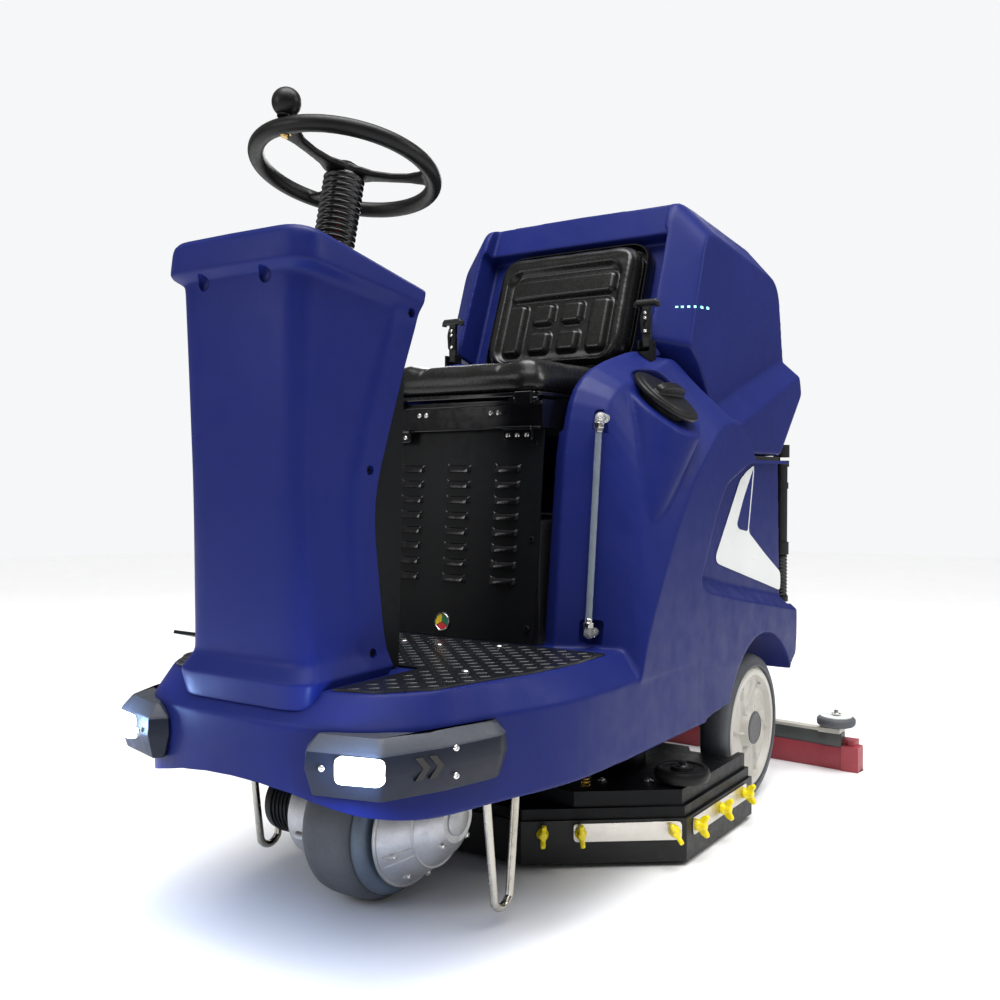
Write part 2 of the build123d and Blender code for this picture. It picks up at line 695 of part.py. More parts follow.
def squeegee_arm():
    """Pivot arm and the cast bracket on the squeegee's back."""
    y, z = SQ_PIVOT
    arm = rod((-52, y, z), (52, y, z), 8) + rod((-41, y, z), (41, y, z), 15)
    for leg in pair(side_prism(29, 41, [(y - 12, z - 8), (y + 8, z + 14), (1358, 112),
                                        (1358, 96.3), (1290, 96.3)])):
        arm += leg
    arm += arc_bar(430, 14, 14, 96.3, 104)
    arm -= rod((0, SQ_MID_Y, 90), (0, SQ_MID_Y, 150), 26.5)
    for post in pair(box((425, 482), (1296, 1350), (100, 112))):
        arm += post
    for pin in pair(rod((467, 1316, 112), (467, 1316, 148), 7)):
        arm += pin
    return arm


def squeegee_roller(side):
    x = 467 * side
    roller = rod((x, 1316, 117), (x, 1316, 143), 50)
    return roller - rod((x, 1316, 110), (x, 1316, 150), 7 + RUN)


def vacuum_hose():
    """Suction hose from the squeegee's port up to the body's rear wall."""
    path = FilletPolyline((0, SQ_MID_Y, 140.3), (0, SQ_MID_Y, 260), (0, 1330, 420),
                          (0, 1290, 560), (0, 1230, 620), (0, 1136.3, 620), radius=[150, 220, 90, 90])
    section = Plane(origin=path @ 0, z_dir=path % 0) * Circle(22)
    return sweep(section, path=path)


# ---------------------------------------------------------------- recovery tank

REC_MAIN = (
    (0, [(612, 1074), (735, 1412), (800, 1414), (1240, 1372), (1272, 1094), (1283, 1046),
         (1285, 992), (1116, 826), (896, 826), (830, 902), (789, 938), (710, 1032),
         (664, 1060)]),
    (262, [(612, 1074), (738, 1406), (800, 1410), (1238, 1368), (1272, 1094), (1283, 1046),
           (1285, 992), (1116, 826), (896, 826), (830, 902), (789, 938), (710, 1032),
           (664, 1060)]),
    (333, [(668, 1064), (756, 1320), (800, 1334), (1232, 1286), (1270, 1094), (1280, 1046),
           (1284, 992), (1116, 826), (896, 826), (830, 902), (789, 938), (722, 1028),
           (690, 1052)]),
)
REC_BULGE = (
    (330, [(789, 940), (1270, 1094), (1284, 992), (1116, 826), (896, 826), (830, 902)]),
    (382, [(845, 898), (1262, 1044), (1280, 992), (1116, 828), (898, 828), (852, 880)]),
)
RECESS = ((-252, 252), (-60, 60), (0, 282))


def recovery_block(shrink):
    wires = []
    for x, outline in REC_MAIN:
        wires.append(side_wire(x - (shrink if x > 300 else 0),
                               inset(outline[::-1], shrink)[::-1]))
    side = Solid.make_loft(wires, ruled=True)
    block = side + mirror_x(side)
    if shrink == 0:
        bulge = Solid.make_loft([side_wire(x, outline) for x, outline in REC_BULGE], ruled=True)
        block = block + bulge + mirror_x(bulge)
    return block


def back_frame():
    """The leaning frame of the backrest: X across, Y up the slope, Z out of the face."""
    lean = math.radians(BACK_TILT)
    return Plane(origin=(0, 606, 1050), x_dir=(1, 0, 0),
                 z_dir=(0, -math.cos(lean), math.sin(lean)))


def recovery_tank():
    tank = recovery_block(0)
    recess = place(back_frame(), box((-254, 254), (-60, 318), (-72, 60)))
    recess += place(back_frame(), box((-246, 246), (280, 430), (-34, 60)))
    hollow = recovery_block(10) - place(back_frame(), box((-266, 266), (-80, 330), (-84, 80)))
    hollow -= place(back_frame(), box((-256, 256), (280, 430), (-44, 80)))
    mouth = box((-215, 215), (850, 1180), (1300, 1500))
    tank = tank - recess - hollow - mouth
    y, z = TANK_HINGE
    for knuckle in pair(rod((90, y, z), (140, y, z), 5.8)
                        + box((90, 140), (y - 5, y + 4), (z, z + 14))):
        tank += knuckle
    tank -= rod((-161, y, z), (161, y, z), 3.5 + RUN)
    y, z = LID_HINGE
    for lug in pair(box((62, 72), (y - 4, y + 4), (z - 12, z))):
        tank += lug
    return tank + rod((-72, y, z), (72, y, z), 2.5)


def tank_lid():
    """Flat lid over the recovery tank's mouth, hinged at its rear edge."""
    lid = side_prism(-232, 232, [(832, 1412), (1206, 1376.5), (1206, 1390), (832, 1425.5)])
    y, z = LID_HINGE
    lid += rod((-60, y, z), (60, y, z), 5.5)
    return lid - rod((-73, y, z), (73, y, z), 2.5 + RUN)


def back_pan():
    return place(back_frame(), box((-203, 203), (-12, 304), (-71, -58)))


def back_cushion():
    pad = box((-200, 200), (-10, 298), (-57.7, 6))
    pad = fillet(pad.edges().filter_by(Axis.Z), 46)
    pad = fillet(pad.edges().group_by(Axis.Z)[-1], 18)
    return place(back_frame(), pad)


def latch_bases():
    """Small brackets on the body that carry the latch straps."""
    y, z = LATCH_PIVOT
    ears = []
    for x in (-LATCH_X, LATCH_X):
        base = box((x - 16, x + 16), (y - 16, y + 11), (z - 50, z + 12))
        base -= box((x - 11.5, x + 11.5), (y - 30, y + 8), (z - 11, z + 30))
        base -= rod((x - 30, y, z), (x + 30, y, z), 3 + RUN)
        ears.append(base - (side_tank(0) if x > 0 else mirror_x(side_tank(0))))
    return ears


def latch(side):
    """Rubber strap with a T-handle, turning on a pin at its foot."""
    x = LATCH_X * side
    y, z = LATCH_PIVOT
    strap = box((x - 11, x + 11), (y - 7, y + 4), (z - 6.5, z + 88))
    strap += rod((x - 24, y - 3, z + 94), (x + 24, y - 3, z + 94), 9)
    return strap + rod((x - 15.5, y, z), (x + 15.5, y, z), 3)


def fill_cap():
    """Round filler cap with a fin to turn it."""
    cap = Pos(0, 0, 8) * Cylinder(CAP_R, 14) + Pos(0, 0, 26) * Box(130, 14, 24)
    cap += Pos(0, 0, -9) * Cylinder(57, 20)
    return place(cap_frame(), cap)


# ---------------------------------------------------------------- seat and trim

def seat_base():
    """Open box under the seat, with lugs and a pin at each front corner."""
    base = box((-203, 203), (262, 704), (874, 930)) - box((-180, 180), (290, 690), (860, 940))
    y, z = SEAT_HINGE
    for lug in pair(box((136, 146), (y - 5, 266), (z - 10, z + 4))
                    + rod((136, y, z), (200, y, z), 4)):
        base += lug
    return base


def seat_pan():
    """Seat plate with two ears that turn on the front pins."""
    pan = box((-200, 200), (252, 600), (936, 945))
    y, z = SEAT_HINGE
    for ear in pair(box((150, 190), (y - 7, y + 7), (z - 8, 945))):
        pan += ear
    return pan - rod((-201, y, z), (201, y, z), 4 + RUN)


def seat_cushion():
    pad = box((-SEAT_HALF, SEAT_HALF), (250, 596), (945.3, 1012))
    pad = fillet(pad.edges().filter_by(Axis.Z), 40)
    return fillet(pad.edges().group_by(Axis.Z)[-1], 20)


def battery_door():
    """Leaning panel between the platform and the seat, with three columns of louvres."""
    door = side_prism(-200, 200, [(234, 451), (273, 872), (277, 872), (238, 451)])
    lean = math.degrees(math.atan2(39, 421))
    for column in (-120, 0, 120):
        for row in range(8):
            z = 568 + row * 32
            y = 234 + (z - 451) * 39 / 421
            slot = Pos(column, y + 2, z) * Rot(-lean, 0, 0) * Box(60, 30, 6)
            door -= slot
    return door


def batteries():
    blocks = []
    for x in (-94, 94):
        for y in (384, 594):
            blocks.append(box((x - 90, x + 90), (y - 100, y + 100), (434, 690)))
    return blocks


def vacuum_motor():
    motor = rod((0, 930, 452), (0, 930, 610), 72) + rod((0, 930, 610), (0, 930, 650), 30)
    return motor


def level_tube():
    """Clear sight tube between two elbows in front of the left tank."""
    low, high = (300, 272, 484), (300, 314, 886)
    elbows = [rod((300, 271, 472), (300, 273, 490), 10) + rod((300, 271, 478), (300, 300, 478), 8),
              rod((300, 313, 882), (300, 315, 900), 10) + rod((300, 314, 892), (300, 340, 892), 8)]
    tube = rod(low, high, 6.5)
    block = side_tank(0)
    return [tube + (elbows[0] - block) + (elbows[1] - block)]


def accelerator_pedal():
    """Foot plate hinged at its lower rear edge, with a roller under the front."""
    plate = side_prism(-305, -215, [(-108, 458), (-104, 464), (-214, 494), (-216, 488)])
    return plate + rod((-309, -106, 461), (-211, -106, 461), 5)


def drain_hose():
    """Drain hose held along the rear corner of the body."""
    hose = rod((352, 1206, 452), (352, 1206, 800), 17)
    return hose + rod((352, 1206, 800), (352, 1206, 860), 21)


def body_screws():
    """Screws sunk flush in the tread plate."""
    return [rod((x, y, PLATFORM_Z), (x, y, PLATFORM_Z + PLATE_T), SCREW_R)
            for x, y in PLATE_SCREWS]


def main():
    os.makedirs("parts", exist_ok=True)
    front_fairing, body_tank = body_parts()
    save("chassis_frame", *chassis_frame())
    save("front_fairing", front_fairing)
    save("body_tank", body_tank)
    save("platform_plate", platform_plate())
    save("tie_down_loops", *tie_down_loops())
    save("cowl_shell", cowl_shell())
    save("cowl_rear_panel", cowl_rear_panel())
    save("control_panel", control_panel())
    save("headlight_housings", *headlight_housings())
    save("headlight_lenses", *headlight_lenses())
    save("steering_column", steering_column())
    save("column_bellows", column_bellows())
    save("steering_wheel", steering_wheel())
    save("spinner_knob", spinner_knob())
    save("key_switch", key_switch())
    save("stop_button", stop_button())
    save("drive_yoke", drive_yoke())
    save("drive_motor", drive_motor())
    save("drive_brake", drive_brake())
    save("drive_rim", drive_rim())
    save("drive_tyre", tyre(STEER_Y, DRIVE_R, 98, -DRIVE_HALF, DRIVE_HALF, 30))
    rear_tyre = tyre(AXLE_Y, REAR_R, 146, REAR_OUT - REAR_W, REAR_OUT, 14)
    save("rear_hub_left", rear_hub())
    save("rear_hub_right", mirror_x(rear_hub()))
    save("rear_tyre_left", rear_tyre)
    save("rear_tyre_right", mirror_x(rear_tyre))
    save("deck_housing", deck_housing())
    save("deck_skirts", deck_skirts())
    save("skirt_strips", *skirt_strips())
    save("skirt_knobs", *skirt_knobs())
    save("brush_motors", *brush_motors())
    save("brush_left", brush(BRUSH_X))
    save("brush_right", brush(-BRUSH_X))
    save("deck_roller_left", deck_roller(1))
    save("deck_roller_right", deck_roller(-1))
    save("lift_arms_front", lift_arms(*DECK_PINS[0], ARM_BARS[0]))
    save("lift_arms_rear", lift_arms(*DECK_PINS[1], ARM_BARS[1]))
    save("squeegee_arm", squeegee_arm())
    save("squeegee_body", squeegee_body())
    save("squeegee_blades", squeegee_blades())
    save("squeegee_roller_left", squeegee_roller(1))
    save("squeegee_roller_right", squeegee_roller(-1))
    save("vacuum_hose", vacuum_hose())
    save("recovery_tank", recovery_tank())
    save("tank_lid", tank_lid())
    save("drain_hose", drain_hose())
    save("back_pan", back_pan())
    save("back_cushion", back_cushion())
    save("latch_bases", *latch_bases())
    save("latch_left", latch(1))
    save("latch_right", latch(-1))
    save("fill_cap", fill_cap())
    save("seat_base", seat_base())
    save("seat_pan", seat_pan())
    save("seat_cushion", seat_cushion())
    save("battery_door", battery_door())
    save("batteries", *batteries())
    save("vacuum_motor", vacuum_motor())
    save("level_tube", *level_tube())
    save("accelerator_pedal", accelerator_pedal())
    save("body_screws", *body_screws())


if __name__ == "__main__":
    main()
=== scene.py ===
"""Looks of the ride-on floor scrubber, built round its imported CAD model.

Lengths are in millimetres in the CAD layout (Y = 0 at the tie-down loops) until at()
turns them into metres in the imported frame.
"""

import math
import random

import bmesh
import bpy
from mathutils import Matrix, Vector


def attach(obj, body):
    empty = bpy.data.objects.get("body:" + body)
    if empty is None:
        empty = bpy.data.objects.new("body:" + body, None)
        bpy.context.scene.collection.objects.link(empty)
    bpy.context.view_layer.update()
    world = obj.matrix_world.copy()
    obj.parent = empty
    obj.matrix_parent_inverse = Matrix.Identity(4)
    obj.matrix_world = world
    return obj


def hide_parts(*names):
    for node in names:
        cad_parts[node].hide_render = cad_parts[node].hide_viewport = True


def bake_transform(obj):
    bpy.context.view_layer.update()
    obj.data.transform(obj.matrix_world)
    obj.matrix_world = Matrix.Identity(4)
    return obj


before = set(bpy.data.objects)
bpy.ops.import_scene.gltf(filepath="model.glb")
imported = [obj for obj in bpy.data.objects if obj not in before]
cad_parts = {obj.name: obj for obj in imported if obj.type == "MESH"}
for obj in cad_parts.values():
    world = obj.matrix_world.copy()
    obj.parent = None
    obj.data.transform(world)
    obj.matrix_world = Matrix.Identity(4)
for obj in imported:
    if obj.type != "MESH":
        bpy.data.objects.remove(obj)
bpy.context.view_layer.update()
scene = bpy.context.scene

MM = 0.001
ORIGIN_Y = 514.0
FINE = 1.0       # voxel sizes are coarser while trying things
# The first voxel size fuses the big mouldings, the second rounds their cut edges.
FUSE_VOXEL, ROUND_VOXEL = 4.5 * FINE, 3.4 * FINE


def at(x, y, z):
    """A layout point in millimetres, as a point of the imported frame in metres."""
    return Vector((x * MM, (y - ORIGIN_Y) * MM, z * MM))


class Place:
    """A local frame: calling it with (u, v, w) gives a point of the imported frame."""

    def __init__(self, origin, x=(1, 0, 0), z=(0, 0, 1)):
        self.o = Vector(origin)
        self.z = Vector(z).normalized()
        self.x = Vector(x)
        self.x = (self.x - self.z * self.x.dot(self.z)).normalized()
        self.y = self.z.cross(self.x)

    def __call__(self, u, v, w):
        return at(*(self.o + self.x * u + self.y * v + self.z * w))

    def moved(self, u, v, w):
        return Place(self.o + self.x * u + self.y * v + self.z * w, self.x, self.z)


def outward(x, y, z, side=1):
    """A place facing out along X on one side of the machine, with u along Y."""
    return Place((x, y, z), (0, 1, 0), (side, 0, 0))


SIDES = ((1, "left"), (-1, "right"))
WORLD = Place((0, 0, 0))
TILT = math.radians(13)
WHEEL = Place((0, -77, 1325), (1, 0, 0), (0, math.sin(TILT), math.cos(TILT)))
CAP_TILT = math.radians(41)
CAP = Place((340, 520, 938), (0, 1, 0), (math.sin(CAP_TILT), 0, math.cos(CAP_TILT)))
LEAN = math.radians(20)
BACK = Place((0, 606, 1050), (1, 0, 0), (0, -math.cos(LEAN), math.sin(LEAN)))
STEER_Y, DRIVE_R = -5, 140
DRIVE = outward(0, STEER_Y, DRIVE_R)
AXLE_Y, REAR_R, ARCH_R = 937, 176, 229
LAMP_Z = 350


# ---------------------------------------------------------------- mesh tools

def add(name, data):
    """A new object in the scene."""
    obj = bpy.data.objects.new(name, data)
    scene.collection.objects.link(obj)
    return obj


def make(name, points, faces):
    """A mesh object from points and faces, with its normals outward."""
    mesh = bpy.data.meshes.new(name)
    mesh.from_pydata([tuple(p) for p in points], [], faces)
    bm = bmesh.new()
    bm.from_mesh(mesh)
    bmesh.ops.recalc_face_normals(bm, faces=bm.faces)
    bm.to_mesh(mesh)
    bm.free()
    return add(name, mesh)


def skin(name, rings, ends=True):
    """Quads between rings of points, with flat ends or joined end to end."""
    count = len(rings[0])
    points = [p for ring in rings for p in ring]
    faces = []
    for i in range(len(rings) - (1 if ends else 0)):
        a, b = i * count, (i + 1) % len(rings) * count
        for j in range(count):
            k = (j + 1) % count
            faces.append((a + j, a + k, b + k, b + j))
    if ends:
        faces += [tuple(range(count)), tuple(range(len(points) - count, len(points)))]
    return make(name, points, faces)


def rounded(outline, reach, steps=4):
    """Round the corners of a closed outline; reach is one length, or one per corner."""
    points = [Vector(p) for p in outline]
    made = []
    for i, p in enumerate(points):
        d = reach[i] if isinstance(reach, (list, tuple)) else reach
        if d <= 0:
            made.append(p)
            continue
        before, after = points[i - 1] - p, points[(i + 1) % len(points)] - p
        a = p + before.normalized() * min(d, before.length * 0.49)
        b = p + after.normalized() * min(d, after.length * 0.49)
        for s in range(steps + 1):
            t = s / steps
            made.append(a * (1 - t) ** 2 + p * (2 * t * (1 - t)) + b * t ** 2)
    return made


def prism(name, place, outline, w0, w1):
    """An outline of (u, v) points, thickened from w0 to w1."""
    return skin(name, [[place(p[0], p[1], w) for p in outline] for w in (w0, w1)])


def side_prism(name, x0, x1, outline):
    """An outline of (y, z) points, thickened along X."""
    return skin(name, [[at(x, p[0], p[1]) for p in outline] for x in (x0, x1)])


def box(u, v):
    """The corners of a rectangle, from its two u and its two v."""
    return [(u[0], v[0]), (u[1], v[0]), (u[1], v[1]), (u[0], v[1])]


def block(name, place, u, v, w):
    """A plain block, from its two u, v and w."""
    return prism(name, place, box(u, v), *w)


def circle(radius, count=32, phase=0.0):
    """The (u, v) points of a circle."""
    return [(radius * math.cos(2 * math.pi * (i + phase) / count),
             radius * math.sin(2 * math.pi * (i + phase) / count)) for i in range(count)]


def turned(name, place, profile, count=48):
    """A closed body turned about a place's w axis, from (radius, height) points."""
    rings = []
    for radius, height in profile:
        rings.append([place(u, v, height) for u, v in circle(max(radius, 0.01), count)])
    return skin(name, rings)


def ring_of(name, place, section, count=64):
    """A closed ring turned about w, from a closed section of (radius, height) points."""
    rings = []
    for i in range(count):
        a = 2 * math.pi * i / count
        rings.append([place(r * math.cos(a), r * math.sin(a), h) for r, h in section])
    return skin(name, rings, ends=False)


def rod(name, start, end, radius, count=24):
    """A round bar between two layout points."""
    start, end = Vector(start), Vector(end)
    axis = end - start
    side = (0, 0, 1) if abs(axis.z) < axis.length * 0.9 else (1, 0, 0)
    place = Place(start, side, axis)
    return turned(name, place, [(radius, 0), (radius, axis.length)], count)


def tube(name, points, radius, count=16):
    """A round bar along layout points, with its frame carried from point to point."""
    points = [Vector(p) for p in points]
    last = len(points) - 1
    rings, normal = [], None
    for i, p in enumerate(points):
        tangent = (points[min(i + 1, last)] - points[max(i - 1, 0)]).normalized()
        if normal is None:
            normal = tangent.orthogonal().normalized()
        normal = (normal - tangent * normal.dot(tangent)).normalized()
        other = tangent.cross(normal)
        size = radius[i] if isinstance(radius, (list, tuple)) else radius
        rings.append([at(*(p + normal * (size * u) + other * (size * v)))
                      for u, v in circle(1, count)])
    return skin(name, rings)


def curve_points(corners, steps=6):
    """A smooth line through points, as a Catmull-Rom curve."""
    corners = [Vector(c) for c in corners]
    made = []
    for i in range(len(corners) - 1):
        p0, p1 = corners[max(i - 1, 0)], corners[i]
        p2, p3 = corners[i + 1], corners[min(i + 2, len(corners) - 1)]
        for s in range(steps):
            t = s / steps
            made.append((p1 * 2 + (p2 - p0) * t + (p0 * 2 - p1 * 5 + p2 * 4 - p3) * t * t
                         + (p1 * 3 - p0 - p2 * 3 + p3) * t ** 3) / 2)
    return made + [corners[-1]]


def bake(obj):
    """Apply every modifier."""
    graph = bpy.context.evaluated_depsgraph_get()
    mesh = bpy.data.meshes.new_from_object(obj.evaluated_get(graph))
    obj.modifiers.clear()
    old = obj.data
    obj.data = mesh
    bpy.data.meshes.remove(old)
    return obj


def join(name, parts):
    """Several meshes as one object."""
    bm = bmesh.new()
    for part in parts:
        bm.from_mesh(part.data)
        bpy.data.objects.remove(part)
    mesh = bpy.data.meshes.new(name)
    bm.to_mesh(mesh)
    bm.free()
    return add(name, mesh)


def cut(obj, *cutters):
    """Cut other bodies out of one, and drop them."""
    for cutter in cutters:
        tool = obj.modifiers.new("cut", "BOOLEAN")
        tool.operation = "DIFFERENCE"
        tool.solver = "MANIFOLD"
        tool.object = cutter
        bake(obj)
        bpy.data.objects.remove(cutter)
    return obj


def remesh(obj, voxel, rounds=0):
    """Voxel remesh, which also fuses overlapping parts, then smooth."""
    tool = obj.modifiers.new("voxels", "REMESH")
    tool.mode = "VOXEL"
    tool.voxel_size = voxel * MM
    if rounds:
        smoothing(obj, rounds)
    return bake(obj)


def smoothing(obj, rounds):
    """Add a smoothing modifier."""
    tool = obj.modifiers.new("smooth", "SMOOTH")
    tool.factor = 0.5
    tool.iterations = rounds


def mirrored(obj, name):
    """A copy on the other side of the machine's middle plane."""
    copy = copied(obj, name, Matrix.Diagonal((-1, 1, 1, 1)))
    copy.data.flip_normals()
    return copy


def copied(obj, name, matrix):
    """A copy with its mesh moved by a matrix."""
    mesh = obj.data.copy()
    mesh.transform(matrix)
    return add(name, mesh)


def place_matrix(place):
    """The matrix that takes a mesh built in WORLD at the layout origin to a place."""
    turn = Matrix((place.x, place.y, place.z)).transposed().to_4x4()
    return Matrix.Translation(at(*place.o)) @ turn @ Matrix.Translation(-at(0, 0, 0))


def bevel(obj, width, segments=2, angle=30):
    """Round the edges sharper than an angle, as a modifier."""
    tool = obj.modifiers.new("edges", "BEVEL")
    tool.width = width * MM
    tool.segments = segments
    tool.limit_method = "ANGLE"
    tool.angle_limit = math.radians(angle)
    return obj


def shade(obj, angle=40):
    """Smooth shading with sharp edges over an angle; 180 leaves none sharp."""
    obj.data.polygons.foreach_set("use_smooth", [True] * len(obj.data.polygons))
    if angle < 180:
        obj.data.set_sharp_from_angle(angle=math.radians(angle))
    return obj


def piece(obj, body, material, replaces=(), angle=40):
    """Give a new piece its finish, its body and the CAD nodes it stands for.

    A piece that is blended between two bodies has no body of its own: None.
    """
    shade(obj, angle)
    obj.data.materials.clear()
    obj.data.materials.append(material)
    if body:
        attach(obj, body)
    if replaces:
        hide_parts(*replaces)
    return obj


def dress(node, material, edge=0.0, segments=2):
    """Finish a CAD node that stays: its material, and rounded edges as a modifier."""
    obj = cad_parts[node]
    for part in obj.material_slots:
        part.material = material
    if edge:
        weld = obj.modifiers.new("weld", "WELD")
        weld.merge_threshold = 0.00005
        bevel(obj, edge, segments, 35)
    return obj


# ---------------------------------------------------------------- materials

def surface(name, colour, rough, metal=0.0, mottle=(6, 0.06), blotch=0.0, grain=(900, 0.05),
            uneven=0.08, wave=None, coat=0.0, specular=0.5, scratch=0.0):
    """A procedural finish: colour drift, uneven gloss, and one to three scales of relief.

    mottle is (scale per metre, share), grain and wave are (scale per metre, depth in mm),
    and scratch is the depth in mm of fine lines.
    """
    material = bpy.data.materials.new(name)
    material.use_nodes = True
    tree = material.node_tree
    shader = tree.nodes["Principled BSDF"]
    shader.inputs["Metallic"].default_value = metal
    shader.inputs["Coat Weight"].default_value = coat
    shader.inputs["Coat Roughness"].default_value = 0.12
    shader.inputs["Specular IOR Level"].default_value = specular
    link = tree.links.new
    where = tree.nodes.new("ShaderNodeTexCoord").outputs["Object"]

    def noise(scale, detail=3.0, roughness=0.55, source=where):
        node = tree.nodes.new("ShaderNodeTexNoise")
        node.inputs["Scale"].default_value = scale
        node.inputs["Detail"].default_value = detail
        node.inputs["Roughness"].default_value = roughness
        link(source, node.inputs["Vector"])
        return node.outputs["Fac"]

    def spread(source, low, high, start=0.3, end=0.7):
        node = tree.nodes.new("ShaderNodeMapRange")
        for i, value in ((1, start), (2, end), (3, low), (4, high)):
            node.inputs[i].default_value = value
        link(source, node.inputs[0])
        return node.outputs[0]

    def relief(height, depth, below=None):
        node = tree.nodes.new("ShaderNodeBump")
        node.inputs["Distance"].default_value = depth * MM
        node.inputs["Strength"].default_value = 1.0
        link(height, node.inputs["Height"])
        if below:
            link(below, node.inputs["Normal"])
        return node.outputs["Normal"]

    drift = spread(noise(mottle[0]), 1 - mottle[1], 1 + mottle[1])
    fine = spread(noise(mottle[0] * 23, 5.0), 1 - mottle[1] * 0.6, 1 + mottle[1] * 0.6)
    both = tree.nodes.new("ShaderNodeMath")
    both.operation = "MULTIPLY"
    link(drift, both.inputs[0])
    link(fine, both.inputs[1])
    scaled = tree.nodes.new("ShaderNodeVectorMath")
    scaled.operation = "SCALE"
    scaled.inputs[0].default_value = colour[:3]
    link(both.outputs[0], scaled.inputs["Scale"])
    tone = scaled.outputs[0]
    if blotch:
        mix = tree.nodes.new("ShaderNodeMix")
        mix.data_type = "RGBA"
        mix.inputs["B"].default_value = (*[c * 0.5 + 0.12 for c in colour[:3]], 1)
        link(spread(noise(mottle[0] * 60, 6.0, 0.7), 0, blotch, 0.62, 0.8), mix.inputs["Factor"])
        link(tone, mix.inputs["A"])
        tone = mix.outputs["Result"]
    link(tone, shader.inputs["Base Color"])
    link(spread(noise(mottle[0] * 7, 6.0), rough - uneven, rough + uneven),
         shader.inputs["Roughness"])

    bump = relief(noise(grain[0], 2.0), grain[1])
    if wave:
        bump = relief(noise(wave[0], 1.0), wave[1], bump)
    if scratch:
        stretch = tree.nodes.new("ShaderNodeMapping")
        stretch.inputs["Scale"].default_value = (1.0, 1.0, 28.0)
        link(where, stretch.inputs["Vector"])
        bump = relief(noise(90, 5, 0.5, stretch.outputs[0]), scratch, bump)
    link(bump, shader.inputs["Normal"])
    return material


BLUE = surface("blue_moulding", (0.009, 0.0155, 0.118), 0.42, mottle=(3, 0.07),
               grain=(420, 0.09), wave=(26, 0.2), specular=0.13)
BLACK_STEEL = surface("black_powder_coat", (0.0055, 0.006, 0.007), 0.40,
                      mottle=(8, 0.15), grain=(700, 0.10), specular=0.14)
GLOSS = surface("gloss_black", (0.004, 0.004, 0.005), 0.15, mottle=(8, 0.1),
                grain=(140, 0.03), coat=0.3, specular=0.35)
TREAD = surface("tread_plate_paint", (0.008, 0.009, 0.012), 0.30, mottle=(12, 0.25),
                blotch=0.25, grain=(500, 0.12), specular=0.3)
PLASTIC = surface("black_plastic", (0.007, 0.007, 0.007), 0.38, mottle=(10, 0.12),
                  grain=(1100, 0.08), specular=0.2)
WHEEL_GRIP = surface("grip_plastic", (0.0075, 0.0075, 0.007), 0.36, mottle=(20, 0.25),
                     blotch=0.2, grain=(900, 0.16), specular=0.2)
# Painted light: a lighter grey for the headlight housings' up-facing tops, standing in for light
# falling on them from above.
PAINTED_TOP_LIGHT = surface("painted_top_light", (0.05, 0.055, 0.068), 0.42, mottle=(9, 0.15),
               grain=(380, 0.2), specular=0.35)
CHARCOAL = surface("charcoal_plastic", (0.0115, 0.0145, 0.024), 0.44, mottle=(9, 0.1),
                   grain=(650, 0.14), specular=0.2)
RUBBER = surface("black_rubber", (0.006, 0.006, 0.006), 0.45, mottle=(10, 0.2),
                 grain=(500, 0.08), specular=0.35)
RIBBED = surface("ribbed_sleeve", (0.004, 0.004, 0.004), 0.2, mottle=(30, 0.1),
                 grain=(300, 0.04), specular=0.45)
TYRE = surface("grey_tyre", (0.075, 0.08, 0.09), 0.62, mottle=(14, 0.16), blotch=0.25,
               grain=(450, 0.22))
HUB = surface("wheel_centre", (0.52, 0.50, 0.45), 0.34, mottle=(5, 0.03),
              grain=(600, 0.05))
HUB_CAP = surface("hub_cap", (0.085, 0.088, 0.09), 0.45, mottle=(20, 0.08),
                  grain=(700, 0.08))
CAST = surface("cast_aluminium", (0.46, 0.46, 0.47), 0.42, metal=0.85, mottle=(12, 0.12),
               blotch=0.12, grain=(520, 0.22), uneven=0.12)
RING_GREY = surface("rim_ring", (0.10, 0.13, 0.17), 0.45, metal=0.3, mottle=(12, 0.12),
                    grain=(420, 0.1))
STEEL = surface("polished_steel", (0.42, 0.395, 0.34), 0.22, metal=1.0, mottle=(14, 0.1),
                grain=(200, 0.05), uneven=0.1)
STRIP = surface("stainless_strip", (0.58, 0.55, 0.50), 0.32, metal=1.0, mottle=(5, 0.05),
                grain=(900, 0.02), scratch=0.012)
YELLOW = surface("yellow_knob", (0.95, 0.76, 0.0), 0.3, mottle=(20, 0.06),
                 grain=(500, 0.06), coat=0.2)
RED_RUBBER = surface("red_blade", (0.34, 0.045, 0.06), 0.5, mottle=(10, 0.12),
                     grain=(300, 0.1))
RED = surface("red_button", (0.55, 0.01, 0.01), 0.25, mottle=(20, 0.05),
              grain=(500, 0.04), coat=0.3)
VINYL = surface("seat_vinyl", (0.006, 0.006, 0.0055), 0.27, mottle=(12, 0.12),
                grain=(520, 0.10), wave=(60, 0.08), uneven=0.04, specular=0.42)
SCREW = surface("plated_screw", (0.75, 0.74, 0.72), 0.18, metal=1.0, mottle=(60, 0.08),
                grain=(900, 0.03))
BRASS = surface("brass_bolt", (0.55, 0.38, 0.14), 0.25, metal=1.0, mottle=(60, 0.1),
                grain=(900, 0.03))
BRISTLE = surface("bristle", (0.012, 0.014, 0.035), 0.6, mottle=(40, 0.3), grain=(200, 0.6))
BATTERY = surface("battery_case", (0.03, 0.03, 0.034), 0.35, mottle=(8, 0.1),
                  grain=(400, 0.08))
BEIGE = surface("beige_bracket", (0.52, 0.50, 0.44), 0.42, mottle=(9, 0.08),
                grain=(500, 0.1))
CHANNEL = surface("squeegee_channel", (0.085, 0.09, 0.088), 0.4, mottle=(9, 0.1),
                  grain=(450, 0.1), metal=0.2)
WHITE = surface("white_vinyl", (0.74, 0.76, 0.74), 0.35, mottle=(8, 0.03),
                grain=(300, 0.02))
GREEN_DOT = surface("green_segment", (0.01, 0.18, 0.09), 0.3, mottle=(40, 0.05))
